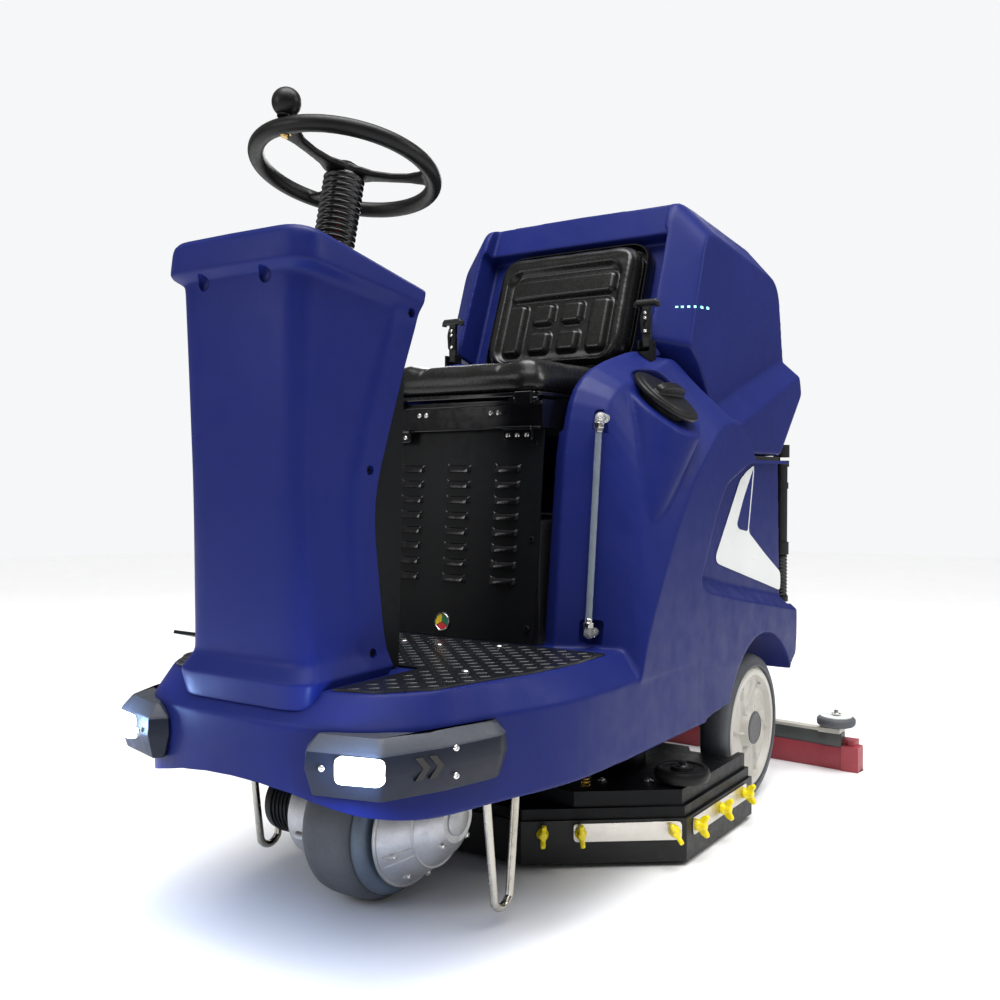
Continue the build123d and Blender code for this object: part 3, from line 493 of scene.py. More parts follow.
YELLOW_DOT = surface("yellow_segment", (0.85, 0.62, 0.02), 0.3, mottle=(40, 0.05))
RED_DOT = surface("red_segment", (0.65, 0.03, 0.04), 0.3, mottle=(40, 0.05))
GOLD = surface("gold_spring", (0.5, 0.33, 0.06), 0.25, metal=1.0, mottle=(40, 0.1))


def tuned(material, settings):
    """Set values on a material's own shader."""
    shader = material.node_tree.nodes["Principled BSDF"]
    for name, value in settings.items():
        shader.inputs[name].default_value = value
    return material


def glowing(name, colour, strength):
    """A lit diffuser, which glows evenly."""
    material = surface(name, (0.8, 0.85, 0.9), 0.3, mottle=(20, 0.03), grain=(300, 0.1))
    return tuned(material, {"Emission Color": (*colour, 1), "Emission Strength": strength})


def clear(name, tint, rough=0.08):
    """A see-through plastic."""
    material = surface(name, tint, rough, mottle=(30, 0.04), grain=(300, 0.02))
    return tuned(material, {"Transmission Weight": 0.75, "IOR": 1.42})


LAMP = glowing("lamp_glow", (0.86, 0.93, 1.0), 7.0)
LED = glowing("led_glow", (0.10, 0.95, 0.80), 2.6)
CLEAR = clear("clear_tube", (0.55, 0.62, 0.66))
FITTING = clear("tube_fitting", (0.82, 0.82, 0.78), 0.25)


def screw_head(place, radius, height):
    """A domed screw head with a socket in it."""
    return turned("screw", place, [
        (radius, 0), (radius, height * 0.5), (radius * 0.82, height * 0.9),
        (radius * 0.5, height), (radius * 0.42, height * 0.25), (0.1, height * 0.2)], 24)


def screws(name, body, places, radius, height, material=SCREW):
    """Alike screw heads as one piece."""
    heads = [screw_head(place, radius, height) for place in places]
    piece(join(name, heads), body, material)


# ---------------------------------------------------------------- camera and stage

VIEW_AZ, VIEW_DOWN = 0.59376, 0.02297
CAMERA_AT = (1.2929, -2.0149, 0.78)
LENS = 38.164

ahead = Vector((-math.sin(VIEW_AZ) * math.cos(VIEW_DOWN),
                math.cos(VIEW_AZ) * math.cos(VIEW_DOWN), -math.sin(VIEW_DOWN)))
across = Vector((math.cos(VIEW_AZ), math.sin(VIEW_AZ), 0))
upward = across.cross(ahead)
camera = add("camera", bpy.data.cameras.new("camera"))
camera.data.lens = LENS
camera.matrix_world = Matrix.Translation(CAMERA_AT) @ Matrix(
    (across, upward, -ahead)).transposed().to_4x4()
scene.camera = camera
scene.view_settings.view_transform = "Standard"

FLOOR_R = 9000
floor = turned("studio_floor", Place((0, ORIGIN_Y, 0)), [(FLOOR_R, -40), (FLOOR_R, -0.5)], 64)
floor.data.materials.append(surface("pale_floor", (0.94, 0.94, 0.94), 0.55,
                                    mottle=(2, 0.01), grain=(80, 0.05)))

# The world lights the machine faintly, and shows the camera a white backdrop.
WORLD_LIGHT, WORLD_SEEN = 0.22, 0.95
world = bpy.data.worlds.new("studio")
scene.world = world
world.use_nodes = True
backdrop = world.node_tree.nodes["Background"]
backdrop.inputs[0].default_value = (0.975, 0.98, 0.99, 1)
seen = world.node_tree.nodes.new("ShaderNodeLightPath")
strength = world.node_tree.nodes.new("ShaderNodeMapRange")
strength.inputs["To Min"].default_value = WORLD_LIGHT
strength.inputs["To Max"].default_value = WORLD_SEEN
world.node_tree.links.new(seen.outputs["Is Camera Ray"], strength.inputs["Value"])
world.node_tree.links.new(strength.outputs[0], backdrop.inputs[1])


def aim(obj, direction):
    """Point a light along a direction."""
    obj.rotation_mode = "QUATERNION"
    obj.rotation_quaternion = direction.to_track_quat("-Z", "Y")


def softbox(name, where, towards, size, power):
    """A rectangular lamp that looks at a point."""
    light = bpy.data.lights.new(name, "AREA")
    light.shape = "RECTANGLE"
    light.size, light.size_y = size
    light.energy = power
    obj = add(name, light)
    obj.location = where
    aim(obj, Vector(towards) - Vector(where))


sun = bpy.data.lights.new("ceiling", "SUN")
sun.energy = 2.8
sun.angle = math.radians(70)
aim(add("ceiling", sun), Vector((-0.12, 0.2, -1)))
softbox("top_softbox", (0.5, -0.4, 3.4), (0, 0, 0.8), (2.6, 1.2), 72)
softbox("front_softbox", (-1.6, -3.4, 2.0), (0, 0, 0.8), (1.2, 1.6), 26)
softbox("side_softbox", (3.0, 1.5, 2.7), (0, 0.5, 1.2), (1.0, 1.6), 30)
softbox("rear_softbox", (-1.5, 3.0, 2.4), (0, 0, 0.8), (2.0, 1.6), 40)


# ---------------------------------------------------------------- blue body

def whole(half):
    """A mirrored outline from its right half."""
    return [*half, *[(-x, y) for x, y in reversed(half) if x > 0]]


REAR_END = 600
BODY_PLAN = [(405, REAR_END), (402, 130), (383, 10), (346, -105), (318, -225), (250, -312),
             (150, -345), (0, -352)]
PLATE_PLAN = [(365, REAR_END), (365, 130), (350, 10), (322, -95), (296, -205), (236, -276),
              (145, -306), (0, -312)]
PLAN_REACH = [0, 200, 200, 200, 200, 200, 200, 200]
FLOOR_GAP, SHOULDER_Z, PLATFORM_Z, WALL = 255, 397, 446, 8
# The front's lower edge arches up over the drive wheel: half of it, as x and z.
LIP = ((0, 303), (60, 301), (125, 294), (190, 280), (240, 268), (285, 260), (318, 254))


def plan_outline(half, inward=0.0):
    """The rounded plan outline of the fairing, moved in by a wall."""
    reach = [*PLAN_REACH, *PLAN_REACH[1:-1][::-1], 0]
    points = rounded(whole(half), reach, 5)
    if not inward:
        return points
    moved = []
    for i, p in enumerate(points):
        a, b = points[i - 1], points[(i + 1) % len(points)]
        run = (b - a).normalized()
        moved.append(p + Vector((run.y, -run.x)) * inward)
    return moved


def fairing(inward, bottom, top):
    """The body of the front fairing, or the hollow inside it."""
    low, high = plan_outline(BODY_PLAN, inward), plan_outline(PLATE_PLAN, inward)
    knee = SHOULDER_Z - inward / 2
    rings = [[at(p[0], p[1], z) for p in outline]
             for outline, z in ((low, bottom), (low, knee), (high, top))]
    return skin("fairing", rings)


TANK_REACH = [0, 60, 80, 110, 70, 24, 24, 14, 14, 0, 0, 0]
TANK_SECTIONS = (
    (206, [(262, 440), (286, 650), (310, 860), (366, 980), (597, 1044), (662, 1034),
           (705, 1012), (784, 924), (824, 890), (891, 818), (1118, 818), (1140, 440)]),
    (238, [(246, 440), (268, 650), (290, 860), (346, 990), (590, 1058), (658, 1048),
           (705, 1022), (784, 930), (824, 894), (891, 818), (1118, 818), (1140, 440)]),
    (300, [(284, 440), (306, 650), (330, 860), (370, 955), (560, 1000), (640, 1040),
           (700, 1022), (784, 930), (824, 894), (891, 818), (1118, 818), (1140, 440)]),
    (368, [(282, 394), (326, 600), (380, 740), (450, 810), (598, 890), (650, 930),
           (700, 950), (784, 925), (824, 890), (891, 818), (1118, 818), (1140, 394)]),
    (405, [(286, 394), (318, 475), (432, 652), (520, 760), (600, 830), (650, 868),
           (690, 890), (760, 900), (820, 882), (888, 816), (1112, 816), (1135, 394)]),
)
SIDE_RECESS = [(840, 806), (702, 760), (647, 696), (605, 626), (559, 554), (596, 532),
               (788, 497), (1163, 436), (1230, 430), (1230, 806)]
SIDE_RECESS_IN = [(866, 830), (738, 748), (688, 690), (648, 622), (612, 572), (640, 560),
                  (800, 528), (1163, 470), (1230, 462), (1230, 830)]


def stepped(rings, steps=6):
    """Rings with more between them, so that a twisted loft stays even."""
    made = []
    for a, b in zip(rings, rings[1:]):
        made += [[p.lerp(q, i / steps) for p, q in zip(a, b)] for i in range(steps)]
    return made + [rings[-1]]


def side_tank():
    """The left flank of the body."""
    rings = []
    for x, outline in TANK_SECTIONS:
        rings.append([at(x, p[0], p[1]) for p in rounded(outline, TANK_REACH)])
    return skin("side_tank", stepped(rings))


def funnel():
    """The conical bulge that carries the filler neck."""
    rings = []
    for i in range(9):
        t = i / 8
        centre = Vector((338, 520, 925)).lerp(Vector((372, 392, 690)), t)
        radius = 87 * (1 - t) ** 0.85 + 13
        tilt = CAP_TILT * (1 - t) + 0.9 * t
        place = Place(centre, (0, 1, 0), (math.sin(tilt), 0, math.cos(tilt)))
        rings.append([place(u, v, 0) for u, v in circle(radius, 32)])
    return skin("funnel", rings)


def both_sides(obj):
    """A piece and its mirror image."""
    return [obj, mirrored(obj, obj.name + "_right")]


def blue_body():
    """The moulded body: fairing, both flanks, recesses, arches and hollows."""
    parts = [fairing(0, FLOOR_GAP, PLATFORM_Z), funnel()]
    parts += both_sides(side_tank())
    skirt = rounded([(560, FLOOR_GAP + 4), (700, 272), (1050, 284), (1120, 292),
                     (1178, 325), (1185, 440), (1135, 500), (560, 500)],
                    [0, 60, 60, 30, 20, 30, 0, 0])
    parts += both_sides(side_prism("rear_skirt", 388, 405, skirt))
    parts.append(block("rear_wall", WORLD, (-210, 210), (1118, 1136), (440, 816)))
    parts.append(block("tank_floor", WORLD, (-210, 210), (705, 1136), (440, 454)))
    liner = turned("liner", outward(290, AXLE_Y, REAR_R),
                   [(ARCH_R + 11, 0), (ARCH_R + 11, 114)], 64)
    cut(liner, block("trim", WORLD, (200, 500), (600, 1300), (440, 700)),
        block("trim", WORLD, (200, 500), (600, 1300), (-200, 290)))
    parts += both_sides(liner)
    body = remesh(join("blue_body", parts), FUSE_VOXEL)

    for arch in both_sides(rod("arch", (270, AXLE_Y, REAR_R), (430, AXLE_Y, REAR_R),
                               ARCH_R, count=96)):
        cut(body, arch)
    recess = skin("recess", [[at(x, p[0], p[1]) for p in rounded(outline, 26)]
                             for x, outline in ((374, SIDE_RECESS_IN), (407, SIDE_RECESS))])
    for cutter in both_sides(recess):
        cut(body, cutter)
    for cutter in both_sides(block("step", WORLD, (190, 220), (220, 760), (868, 1200))):
        cut(body, cutter)
    cut(body, turned("cap_seat", CAP, [(86, 0), (86, 160)], 64))
    cut(body, turned("neck", CAP, [(58, -60), (58, 10)], 48))
    low, high = Vector((300, 270, 478)), Vector((300, 315, 892))
    cut(body, rod("tube_channel", low.lerp(high, 0.04), low.lerp(high, 0.96), 17, count=24))
    body = remesh(body, ROUND_VOXEL, 3)

    tube_place = Place(low, (1, 0, 0), (0, -1, 0.1))
    for h in (2, 414):
        pocket = prism("pocket", tube_place, rounded(box((-22, 22), (h - 24, h + 24)), 9), -34, 60)
        cut(body, pocket)
    cut(body, fairing(WALL, FLOOR_GAP - 20, PLATFORM_Z - WALL))
    cut(body, block("under_tanks", WORLD, (-380, 380), (500, 640),
                    (FLOOR_GAP - 20, PLATFORM_Z - WALL)))
    cut(body, block("battery_well", WORLD, (-198, 198), (270, 705), (300, 600)))
    cut(body, block("column_way", WORLD, (-60, 60), (-200, 20), (400, 470)))
    lip = [(-LIP[-1][0], FLOOR_GAP - 40), *[(-x, z) for x, z in reversed(LIP[1:])], *LIP,
           (LIP[-1][0], FLOOR_GAP - 40)]
    cut(body, prism("lip", Place((0, -200, 0), (1, 0, 0), (0, -1, 0)), lip, 0, 200))
    piece(body, "machine", BLUE, ("front_fairing", "body_tank"), 50)


blue_body()


# ---------------------------------------------------------------- recovery tank

REC_REACH = [14, 44, 50, 60, 24, 20, 24, 12, 10, 0, 0, 0, 12]
REC_MAIN = (
    (0, [(612, 1074), (735, 1412), (800, 1414), (1240, 1372), (1272, 1094), (1283, 1046),
         (1285, 992), (1116, 828), (896, 828), (830, 902), (789, 938), (710, 1032),
         (664, 1060)]),
    (262, [(612, 1074), (738, 1406), (800, 1410), (1238, 1368), (1272, 1094), (1283, 1046),
           (1285, 992), (1116, 828), (896, 828), (830, 902), (789, 938), (710, 1032),
           (664, 1060)]),
    (333, [(668, 1064), (756, 1320), (800, 1334), (1232, 1286), (1270, 1094), (1280, 1046),
           (1284, 992), (1116, 828), (896, 828), (830, 902), (789, 938), (722, 1028),
           (690, 1052)]),
)
REC_BULGE = (
    (320, [(780, 940), (1265, 1100), (1284, 992), (1116, 828), (896, 828), (830, 902)]),
    (382, [(845, 898), (1262, 1044), (1280, 992), (1116, 830), (898, 830), (852, 880)]),
)


def recovery_tank():
    """The upper tank, with the recess for the back cushion."""
    sections = [*[(-x, s) for x, s in REC_MAIN[:0:-1]], *REC_MAIN]
    main = skin("recovery", stepped([[at(x, p[0], p[1]) for p in rounded(s, REC_REACH)]
                                     for x, s in sections]))
    bulge = skin("bulge", [[at(x, p[0], p[1]) for p in rounded(s, 16)] for x, s in REC_BULGE])
    tank = remesh(join("recovery_shell", [main, *both_sides(bulge)]), FUSE_VOXEL)
    cut(tank, prism("back_recess", BACK, rounded(box((-256, 256), (-64, 320)), 26), -72, 80))
    cut(tank, prism("beam_step", BACK, rounded(
        [(-250, 250), (250, 250), (240, 470), (-240, 470)], 22), -36, 80))
    tank = remesh(tank, ROUND_VOXEL, 2)
    cut(tank, block("mouth", WORLD, (-215, 215), (850, 1180), (1010, 1500)))
    piece(tank, "recovery", BLUE, ("recovery_tank",), 50)


recovery_tank()


def tank_seal():
    """A rubber strip round the top of the body, under the recovery tank."""
    strips = [block("seal", WORLD, (-384, 384), (y, y + 12), (812, 827))
              for y in (900, 1096)]
    for side in (-1, 1):
        strips.append(block("seal", WORLD, tuple(sorted((372 * side, 384 * side))),
                            (900, 1108), (812, 827)))
    piece(bevel(join("tank_seal", strips), 1.5), "machine", RUBBER)


tank_seal()


# ---------------------------------------------------------------- cowl

# Per level: front half width, y, z; rear half width, y, z; depth of the side panel;
# how far the outer and the inner face stand in from the level's outline.
COWL_LEVELS = (
    (144, -336, 417, 145, -134, 447, 0, 3, 5), (144, -336, 418, 145, -134, 448, 0, 0, 8),
    (152, -341, 456, 151, -130, 460, 0, 0, 8), (151, -340, 461, 150, -131, 465, 0, 0, 8),
    (139, -322, 486, 143, -137, 488, 4, 0, 8), (136, -324, 520, 140, -143, 525, 9, 0, 7),
    (128, -332, 745, 131, -159, 735, 9, 0, 7), (137, -335, 960, 151, -102, 955, 9, 0, 7),
    (140, -337, 1050, 159, -80, 1030, 7, 0, 7), (141, -338, 1088, 159, -72, 1052, 4, 0, 7),
    (144, -339, 1097, 160, -68, 1061, 1, 0, 9),
    (160, -351, 1108, 162, -60, 1074, 0, 0, 18), (162, -353, 1114, 162, -57, 1080, 0, 0, 18),
    (161, -348, 1154, 160, -51, 1096, 0, 0, 18), (161, -348, 1162, 160, -50, 1101, 0, 6, 12),
)
FLANGE, FLANGE_SLOPE = 50, 16


def eased(levels, share=0.3, steps=4):
    """Levels with the turns between their runs rounded off."""
    made = [levels[0]]
    for i in range(1, len(levels) - 1):
        a = [h + (b - h) * share for b, h in zip(levels[i - 1], levels[i])]
        c = [h + (n - h) * share for n, h in zip(levels[i + 1], levels[i])]
        for s in range(steps + 1):
            t = s / steps
            made.append([p * (1 - t) ** 2 + h * 2 * t * (1 - t) + q * t * t
                         for p, h, q in zip(a, levels[i], c)])
    return made + [levels[-1]]


def cowl_outline(level, inward):
    """One level of the cowl's open outline, moved in by a distance."""
    wf, yf, zf, wr, yr, zr, depth = level[:7]
    wf, wr, yf = wf - inward, wr - inward, yf + inward
    front, rear = Vector((wf, yf, zf)), Vector((wr, yr, zr))
    run = (rear - front).length
    ridge = front.lerp(rear, 1 - FLANGE / run)
    slope = front.lerp(rear, 1 - (FLANGE + FLANGE_SLOPE) / run)
    slope.x -= depth
    near = front.lerp(rear, 0.3)
    near.x -= depth * 0.9
    half = rounded([Vector((0, yf - 3, zf)), front, near, slope, ridge, rear],
                   [0, 52, 24, 12, 8, 0], 6)
    left = [Vector((-p.x, p.y, p.z)) for p in half[1:]]
    return [*reversed(half), *left]


# The screws down each rear edge of the cowl: x of the side's face, y, z.
COWL_SCREWS = ((156, -88, 1056), (134, -169, 789), (142, -172, 486))
COWL_FRONT = [Place((x, -339, 1091), (1, 0, 0), (0, -1, 0.12)) for x in (-69, 71)]


def cowl():
    """The steering cowl, its panel, and its screws in their cups."""
    rings = []
    for level in eased(COWL_LEVELS):
        outer = cowl_outline(level, level[7])
        inner = cowl_outline(level, level[8])
        rings.append([at(*p) for p in [*outer, *reversed(inner)]])
    shell = skin("cowl", rings)
    for lean in COWL_FRONT:
        cut(shell, turned("pocket", lean, [(13, -40), (13, 16)], 32))
    for x, y, z in COWL_SCREWS:
        for side in (-1, 1):
            cut(shell, rod("hole", (110 * side, y, z), (200 * side, y, z), 8.5, count=24))
    piece(shell, "machine", BLUE, ("cowl_shell",), 32)
    top = cowl_outline((161, -348, 1150, 160, -56, 1091, 0), 15)
    panel = skin("panel", [[at(*p) + Vector((0, 0, rise * MM)) for p in top]
                           for rise in (-6, 0)])
    for x, radius in ((-70, 9.5), (70, 14.5)):
        cut(panel, rod("hole", (x, -180, 1050), (x, -180, 1200), radius, count=32))
    piece(bevel(panel, 1.5), "machine", PLASTIC, ("control_panel",))
    cups, heads = [], []
    for lean in COWL_FRONT:
        cups.append(turned("cup", lean, [(0.1, -12), (15, -12), (15, -3), (12.9, -1.5),
                                         (11.5, -6), (8, -7.5), (0.1, -8)], 32))
    for x, y, z in COWL_SCREWS:
        for side in (-1, 1):
            seat = outward(side * x, y, z, side)
            cups.append(turned("cup", seat, [(0.1, -9), (10.5, -9), (10.5, -2), (8.4, -1.5),
                                             (8.0, -6), (0.1, -6.2)], 32))
            heads.append(screw_head(seat.moved(0, 0, -6), 5.5, 3))
    piece(join("cowl_screw_cups", cups), "machine", BLUE)
    piece(join("cowl_screws", heads), "machine", BLACK_STEEL)


cowl()


# ---------------------------------------------------------------- controls

def controls():
    """The operator's panel: a small display, a row of rocker switches and two dials."""
    slope = math.atan2(59, 290)
    panel = Place((0, -200, 1121), (1, 0, 0), (0, math.sin(slope), math.cos(slope)))
    parts = []
    screen = prism("screen", panel, rounded(box((-45, 45), (-18, 34)), 8), -3, 3)
    piece(bevel(screen, 1.5), "machine", GLOSS)
    for i in range(4):
        u = -96 + i * 64
        parts.append(prism("switch", panel, rounded(box((u - 14, u + 14), (-76, -46)), 4),
                           -3, 3))
        parts.append(block("rocker", panel, (u - 9, u + 9), (-71, -51), (0, 7)))
    for u in (-105, 105):
        parts.append(turned("dial", panel.moved(u, 8, 0),
                            [(17, -2), (17, 3), (13, 5), (12, 15), (10, 17), (0.1, 17)], 36))
    piece(bevel(join("panel_switches", parts), 1.0), "machine", PLASTIC)


controls()


# ---------------------------------------------------------------- steering wheel

WHEEL_R, RIM_R = 158.5, 14.5


def steering_wheel():
    """Rim, spokes, hub, spinner and their fixings."""
    parts = [ring_of("rim", WHEEL, [(WHEEL_R + u, v) for u, v in circle(RIM_R, 20)], 96)]
    # Each spoke: distance out, half width, height of its middle, half thickness.
    sections = ((8, 27, -6, 7), (30, 25, -6, 7.5), (52, 15, -7, 6.5), (85, 11.5, -7, 6),
                (115, 13, -5, 6), (138, 22, -2, 6), (150, 34, 0, 6), (157, 38, 0, 6))
    for angle in (-90, 30, 150):
        a = math.radians(angle)
        rings = []
        for out, half, height, thick in sections:
            ring = []
            for i in range(16):
                t = 2 * math.pi * i / 16
                c, s = math.cos(t), math.sin(t)
                v = half * math.copysign(abs(c) ** 0.6, c)
                w = height + thick * math.copysign(abs(s) ** 0.7, s)
                ring.append(WHEEL(out * math.cos(a) - v * math.sin(a),
                                  out * math.sin(a) + v * math.cos(a), w))
            rings.append(ring)
        parts.append(skin("spoke", rings))
    parts.append(turned("hub", WHEEL, [(22, -28), (22, -15), (30, -13), (31, 0), (26, 4),
                                       (0.1, 4)], 48))
    wheel = remesh(join("wheel", parts), 2.6, 5)
    cut(wheel, turned("bore", WHEEL, [(14.1, -60), (14.1, -11)], 32))
    cut(wheel, turned("pin_bore", WHEEL.moved(0, -WHEEL_R, 0), [(5.2, -30), (5.2, 30)], 24))
    piece(wheel, "steering", WHEEL_GRIP, ("steering_wheel",), 60)
    piece(turned("wheel_cap", WHEEL, [(24, 3), (24, 6), (20, 9), (10, 11), (0.1, 11.4)]),
          "steering", GLOSS)
    seats = [Place(WHEEL.o + WHEEL.x * (19 * side) + WHEEL.z * -14, (0, 1, 0), -WHEEL.z)
             for side in (-1, 1)]
    screws("wheel_screws", "steering", seats, 4.5, 4)
    under = Place(WHEEL.o + WHEEL.y * -(WHEEL_R - 8) - WHEEL.z * 8, (1, 0, 0), -WHEEL.z)
    piece(turned("spinner_bolt", under, [(11, -2), (11, 1), (8, 2), (8, 6), (6, 8), (0.1, 8)], 6),
          "steering", BRASS)
    ball = [(5, -14), (5, 15), (12, 16), (12, 19), (8.5, 20.5)]
    for i in range(1, 20):
        a = math.radians(-68 + i * 158 / 19)
        ball.append((25 * math.cos(a), 43 + 25 * math.sin(a)))
    ball.append((0.1, 68))
    piece(turned("spinner_ball", WHEEL.moved(0, -WHEEL_R, 0), ball, 40), "spinner", WHEEL_GRIP,
          ("spinner_knob",), 50)


def bellows():
    """The ribbed sleeve on the steering column."""
    ribs, low, high = 19, -218.0, -15.0
    pitch = (high - low) / ribs
    outer = []
    for i in range(ribs):
        for t, r in ((0.0, 33.0), (0.18, 33.6), (0.34, 36.2), (0.5, 37), (0.66, 36.2),
                     (0.82, 33.6)):
            outer.append((r, low + (i + t) * pitch))
    profile = [(29, low), *outer, (33, high), (29, high)]
    piece(ring_of("bellows", WHEEL, profile, 48), "machine", RIBBED,
          ("column_bellows",), 60)


steering_wheel()
bellows()


# ---------------------------------------------------------------- platform

def plate_half():
    """The tread plate's outline, a little inside its edge."""
    edge = [(x - 8 if x else 0, y + (8 if y < 0 else 0)) for x, y in PLATE_PLAN[1:]]
    return whole([(PLATE_PLAN[0][0] - 10, 232), *edge])


def inside(x, y, outline):
    """Whether a point is inside an outline."""
    within = False
    for i, (x1, y1) in enumerate(outline):
        x0, y0 = outline[i - 1]
        if (y0 > y) != (y1 > y) and x < (x1 - x0) * (y - y0) / (y1 - y0) + x0:
            within = not within
    return within


PLATE_SCREWS = ((250, -60), (-250, -60), (150, 190), (-150, 190))
PLATE_TOP, BAR_PITCH, BAR_LONG, BAR_WIDE, BAR_HIGH = 450, 22, 12, 2.7, 1.1
COWL_HALF, COWL_REAR = 172, -66                  # no bars under the cowl
PEDAL_X, PEDAL_Y = (-312, -208), (-120, -96)     # nor at the pedal's foot
SCREW_CLEAR = 16


def tread_bars():
    """The raised bars of the tread plate, at 45 degrees to each other in turn."""
    outline = plate_half()
    points, faces = [], []
    rows = range(-340, 240, BAR_PITCH)
    for j, y in enumerate(rows):
        for i, x in enumerate(range(-380, 381, BAR_PITCH)):
            if not inside(x, y, outline) or (abs(x) < COWL_HALF and y < COWL_REAR):
                continue
            if any(math.hypot(x - u, y - v) < SCREW_CLEAR for u, v in PLATE_SCREWS):
                continue
            if PEDAL_X[0] < x < PEDAL_X[1] and PEDAL_Y[0] < y < PEDAL_Y[1]:
                continue
            a = math.radians(45 if (i + j) % 2 else -45)
            start = len(points)
            for long, wide, high in ((BAR_LONG, BAR_WIDE, -0.5),
                                     (BAR_LONG * 0.8, BAR_WIDE * 0.55, BAR_HIGH)):
                for k in range(8):
                    t = 2 * math.pi * k / 8
                    u = long * math.cos(t)
                    v = wide * math.sin(t)
                    points.append(at(x + u * math.cos(a) - v * math.sin(a),
                                     y + u * math.sin(a) + v * math.cos(a),
                                     PLATE_TOP + high))
            faces += [(start + k, start + (k + 1) % 8, start + 8 + (k + 1) % 8, start + 8 + k)
                      for k in range(8)]
            faces += [tuple(range(start, start + 8)), tuple(range(start + 8, start + 16))]
    piece(make("tread_bars", points, faces), "machine", TREAD, (), 60)
    seats = [Place((x, y, PLATE_TOP)) for x, y in (*PLATE_SCREWS, (44, 140), (-44, 140))]
    screws("plate_screw_heads", "machine", seats, 7.5, 3.5)


tread_bars()


# ---------------------------------------------------------------- battery door

# The foot of the leaning door, and how far it runs back over its height.
DOOR_Y, DOOR_Z, DOOR_RUN, DOOR_RISE = 234, 451, 39, 421
DOOR_LEAN = math.atan2(DOOR_RUN, DOOR_RISE)
DOOR = Place((0, DOOR_Y, DOOR_Z), (1, 0, 0), (0, -math.cos(DOOR_LEAN), math.sin(DOOR_LEAN)))


def louvre():
    """One pressed louvre hood, open at its lower side, as rows across its width."""
    half, high, out = 31.0, 15.0, 6.5
    outer, inner = [], []
    count = 20
    for i in range(count + 1):
        s = -1 + 2 * i / count
        end = math.sqrt(max(0.0, 1 - abs(s) ** 9))
        u = half * s
        outer.append([WORLD(u, high * (1 - end) * 0.3 + high * f, (out * end) * g + 0.05)
                      for f, g in ((1.0, 0), (0.8, 0.5), (0.5, 0.86), (0.2, 1.0), (0.0, 1.0))])
        inner.append([WORLD(u * 0.965, high * (1 - end) * 0.3 + high * f,
                            (out * end - 1.1) * g - 0.6)
                      for f, g in ((0.0, 1.0), (0.2, 1.0), (0.5, 0.84), (0.78, 0.45),
                                   (0.95, 0))])
    return skin("louvre", [a + b for a, b in zip(outer, inner)])


def battery_door():
    """The door's louvres, badge and screws."""
    hood = louvre()
    hoods = []
    for column in (-120, 0, 120):
        for row in range(8):
            z = 568 + row * 32
            y = DOOR_Y + (z - DOOR_Z) * DOOR_RUN / DOOR_RISE
            place = Place((column, y, z - 5), (1, 0, 0), DOOR.z)
            hoods.append(copied(hood, "hood", place_matrix(place)))
    bpy.data.objects.remove(hood)
    piece(join("door_louvres", hoods), "machine", GLOSS, (), 50)
    badge = DOOR.moved(-23, 29, 0)
    piece(ring_of("badge_ring", badge, [(15.5, 0), (19.5, 0), (19.5, 2), (18, 4), (16.5, 3.4),
                                        (15.5, 2)], 48), "machine", SCREW)
    for i, (colour, name) in enumerate(((GREEN_DOT, "green"), (YELLOW_DOT, "yellow"),
                                        (RED_DOT, "red"))):
        start = math.radians(-30 + i * 120)
        fan = [(0.7 * math.cos(start + 1.05), 0.7 * math.sin(start + 1.05))]
        turns = [start + 0.05 + k * 0.1667 for k in range(13)]
        fan += [(15.4 * math.cos(a), 15.4 * math.sin(a)) for a in turns]
        piece(prism("badge_" + name, badge, fan, 0, 2), "machine", colour)
    seats = [DOOR.moved(u, v, 0) for u, v in ((184, 30), (184, 205), (182, 395), (-186, 30),
                                              (-186, 205), (-184, 395))]
    screws("door_screws", "machine", seats, 6.5, 4, BLACK_STEEL)


def seat_front():
    """Fold, hinges and fixings along the front of the seat base."""
    front = Place((0, 262, 902), (1, 0, 0), (0, -1, 0))
    rail = block("rail", front, (-200, 200), (-30, -25), (0, 6))
    lip = block("lip", front, (-203, 203), (18, 24), (0, 5))
    plates, bolts = [rail, lip], []
    for side in (-1, 1):
        u = 152 * side
        plates.append(prism("leaf", front, rounded(box((u - 34, u + 34), (-52, -32)), 4), 8, 11))
        plates.append(rod("knuckle", (u - 34, 250, 874), (u + 34, 250, 874), 4.5, count=20))
        bolts += [screw_head(front.moved(u + d, -42, 11), 5, 3) for d in (-22, 0, 22)]
        bolts += [screw_head(front.moved(u * 0.6 + d, 4, 0), 5.5, 4) for d in (-9, 9)]
    piece(bevel(join("seat_hinges", plates), 1.2), "machine", GLOSS)
    piece(join("seat_bolts", bolts), "machine", SCREW)


battery_door()
seat_front()


# ---------------------------------------------------------------- cushions

def cushion_form(name, place, half_u, v, w, corner, crown, edge):
    """A closed pad: rounded outline, pulled-in sides and a crowned face."""
    outline = rounded(box((-half_u, half_u), v), corner, 10)
    middle = Vector((0, (v[0] + v[1]) / 2))
    rings = []
    w0, w1 = w
    for share, inward in ((0, 4), (0.12, 0), (0.5, 0), (0.8, edge * 0.25), (0.94, edge * 0.6),
                          (1.0, edge)):
        ring = []
        for p in outline:
            q = Vector(p[:2])
            q = q + (middle - q).normalized() * inward
            ring.append(place(q.x, q.y, w0 + (w1 - w0) * share))
        rings.append(ring)
    for shrink, lift in ((0.8, 0.45), (0.55, 0.8), (0.3, 0.95), (0.08, 1.0)):
        ring = []
        for p in outline:
            q = middle + (Vector(p[:2]) - middle) * shrink
            ring.append(place(q.x, q.y, w1 + crown * lift))
        rings.append(ring)
    return skin(name, rings)


PUFF_FRAMES, RELAX_ROUNDS, PRESSURE = 20, 45, 4.0


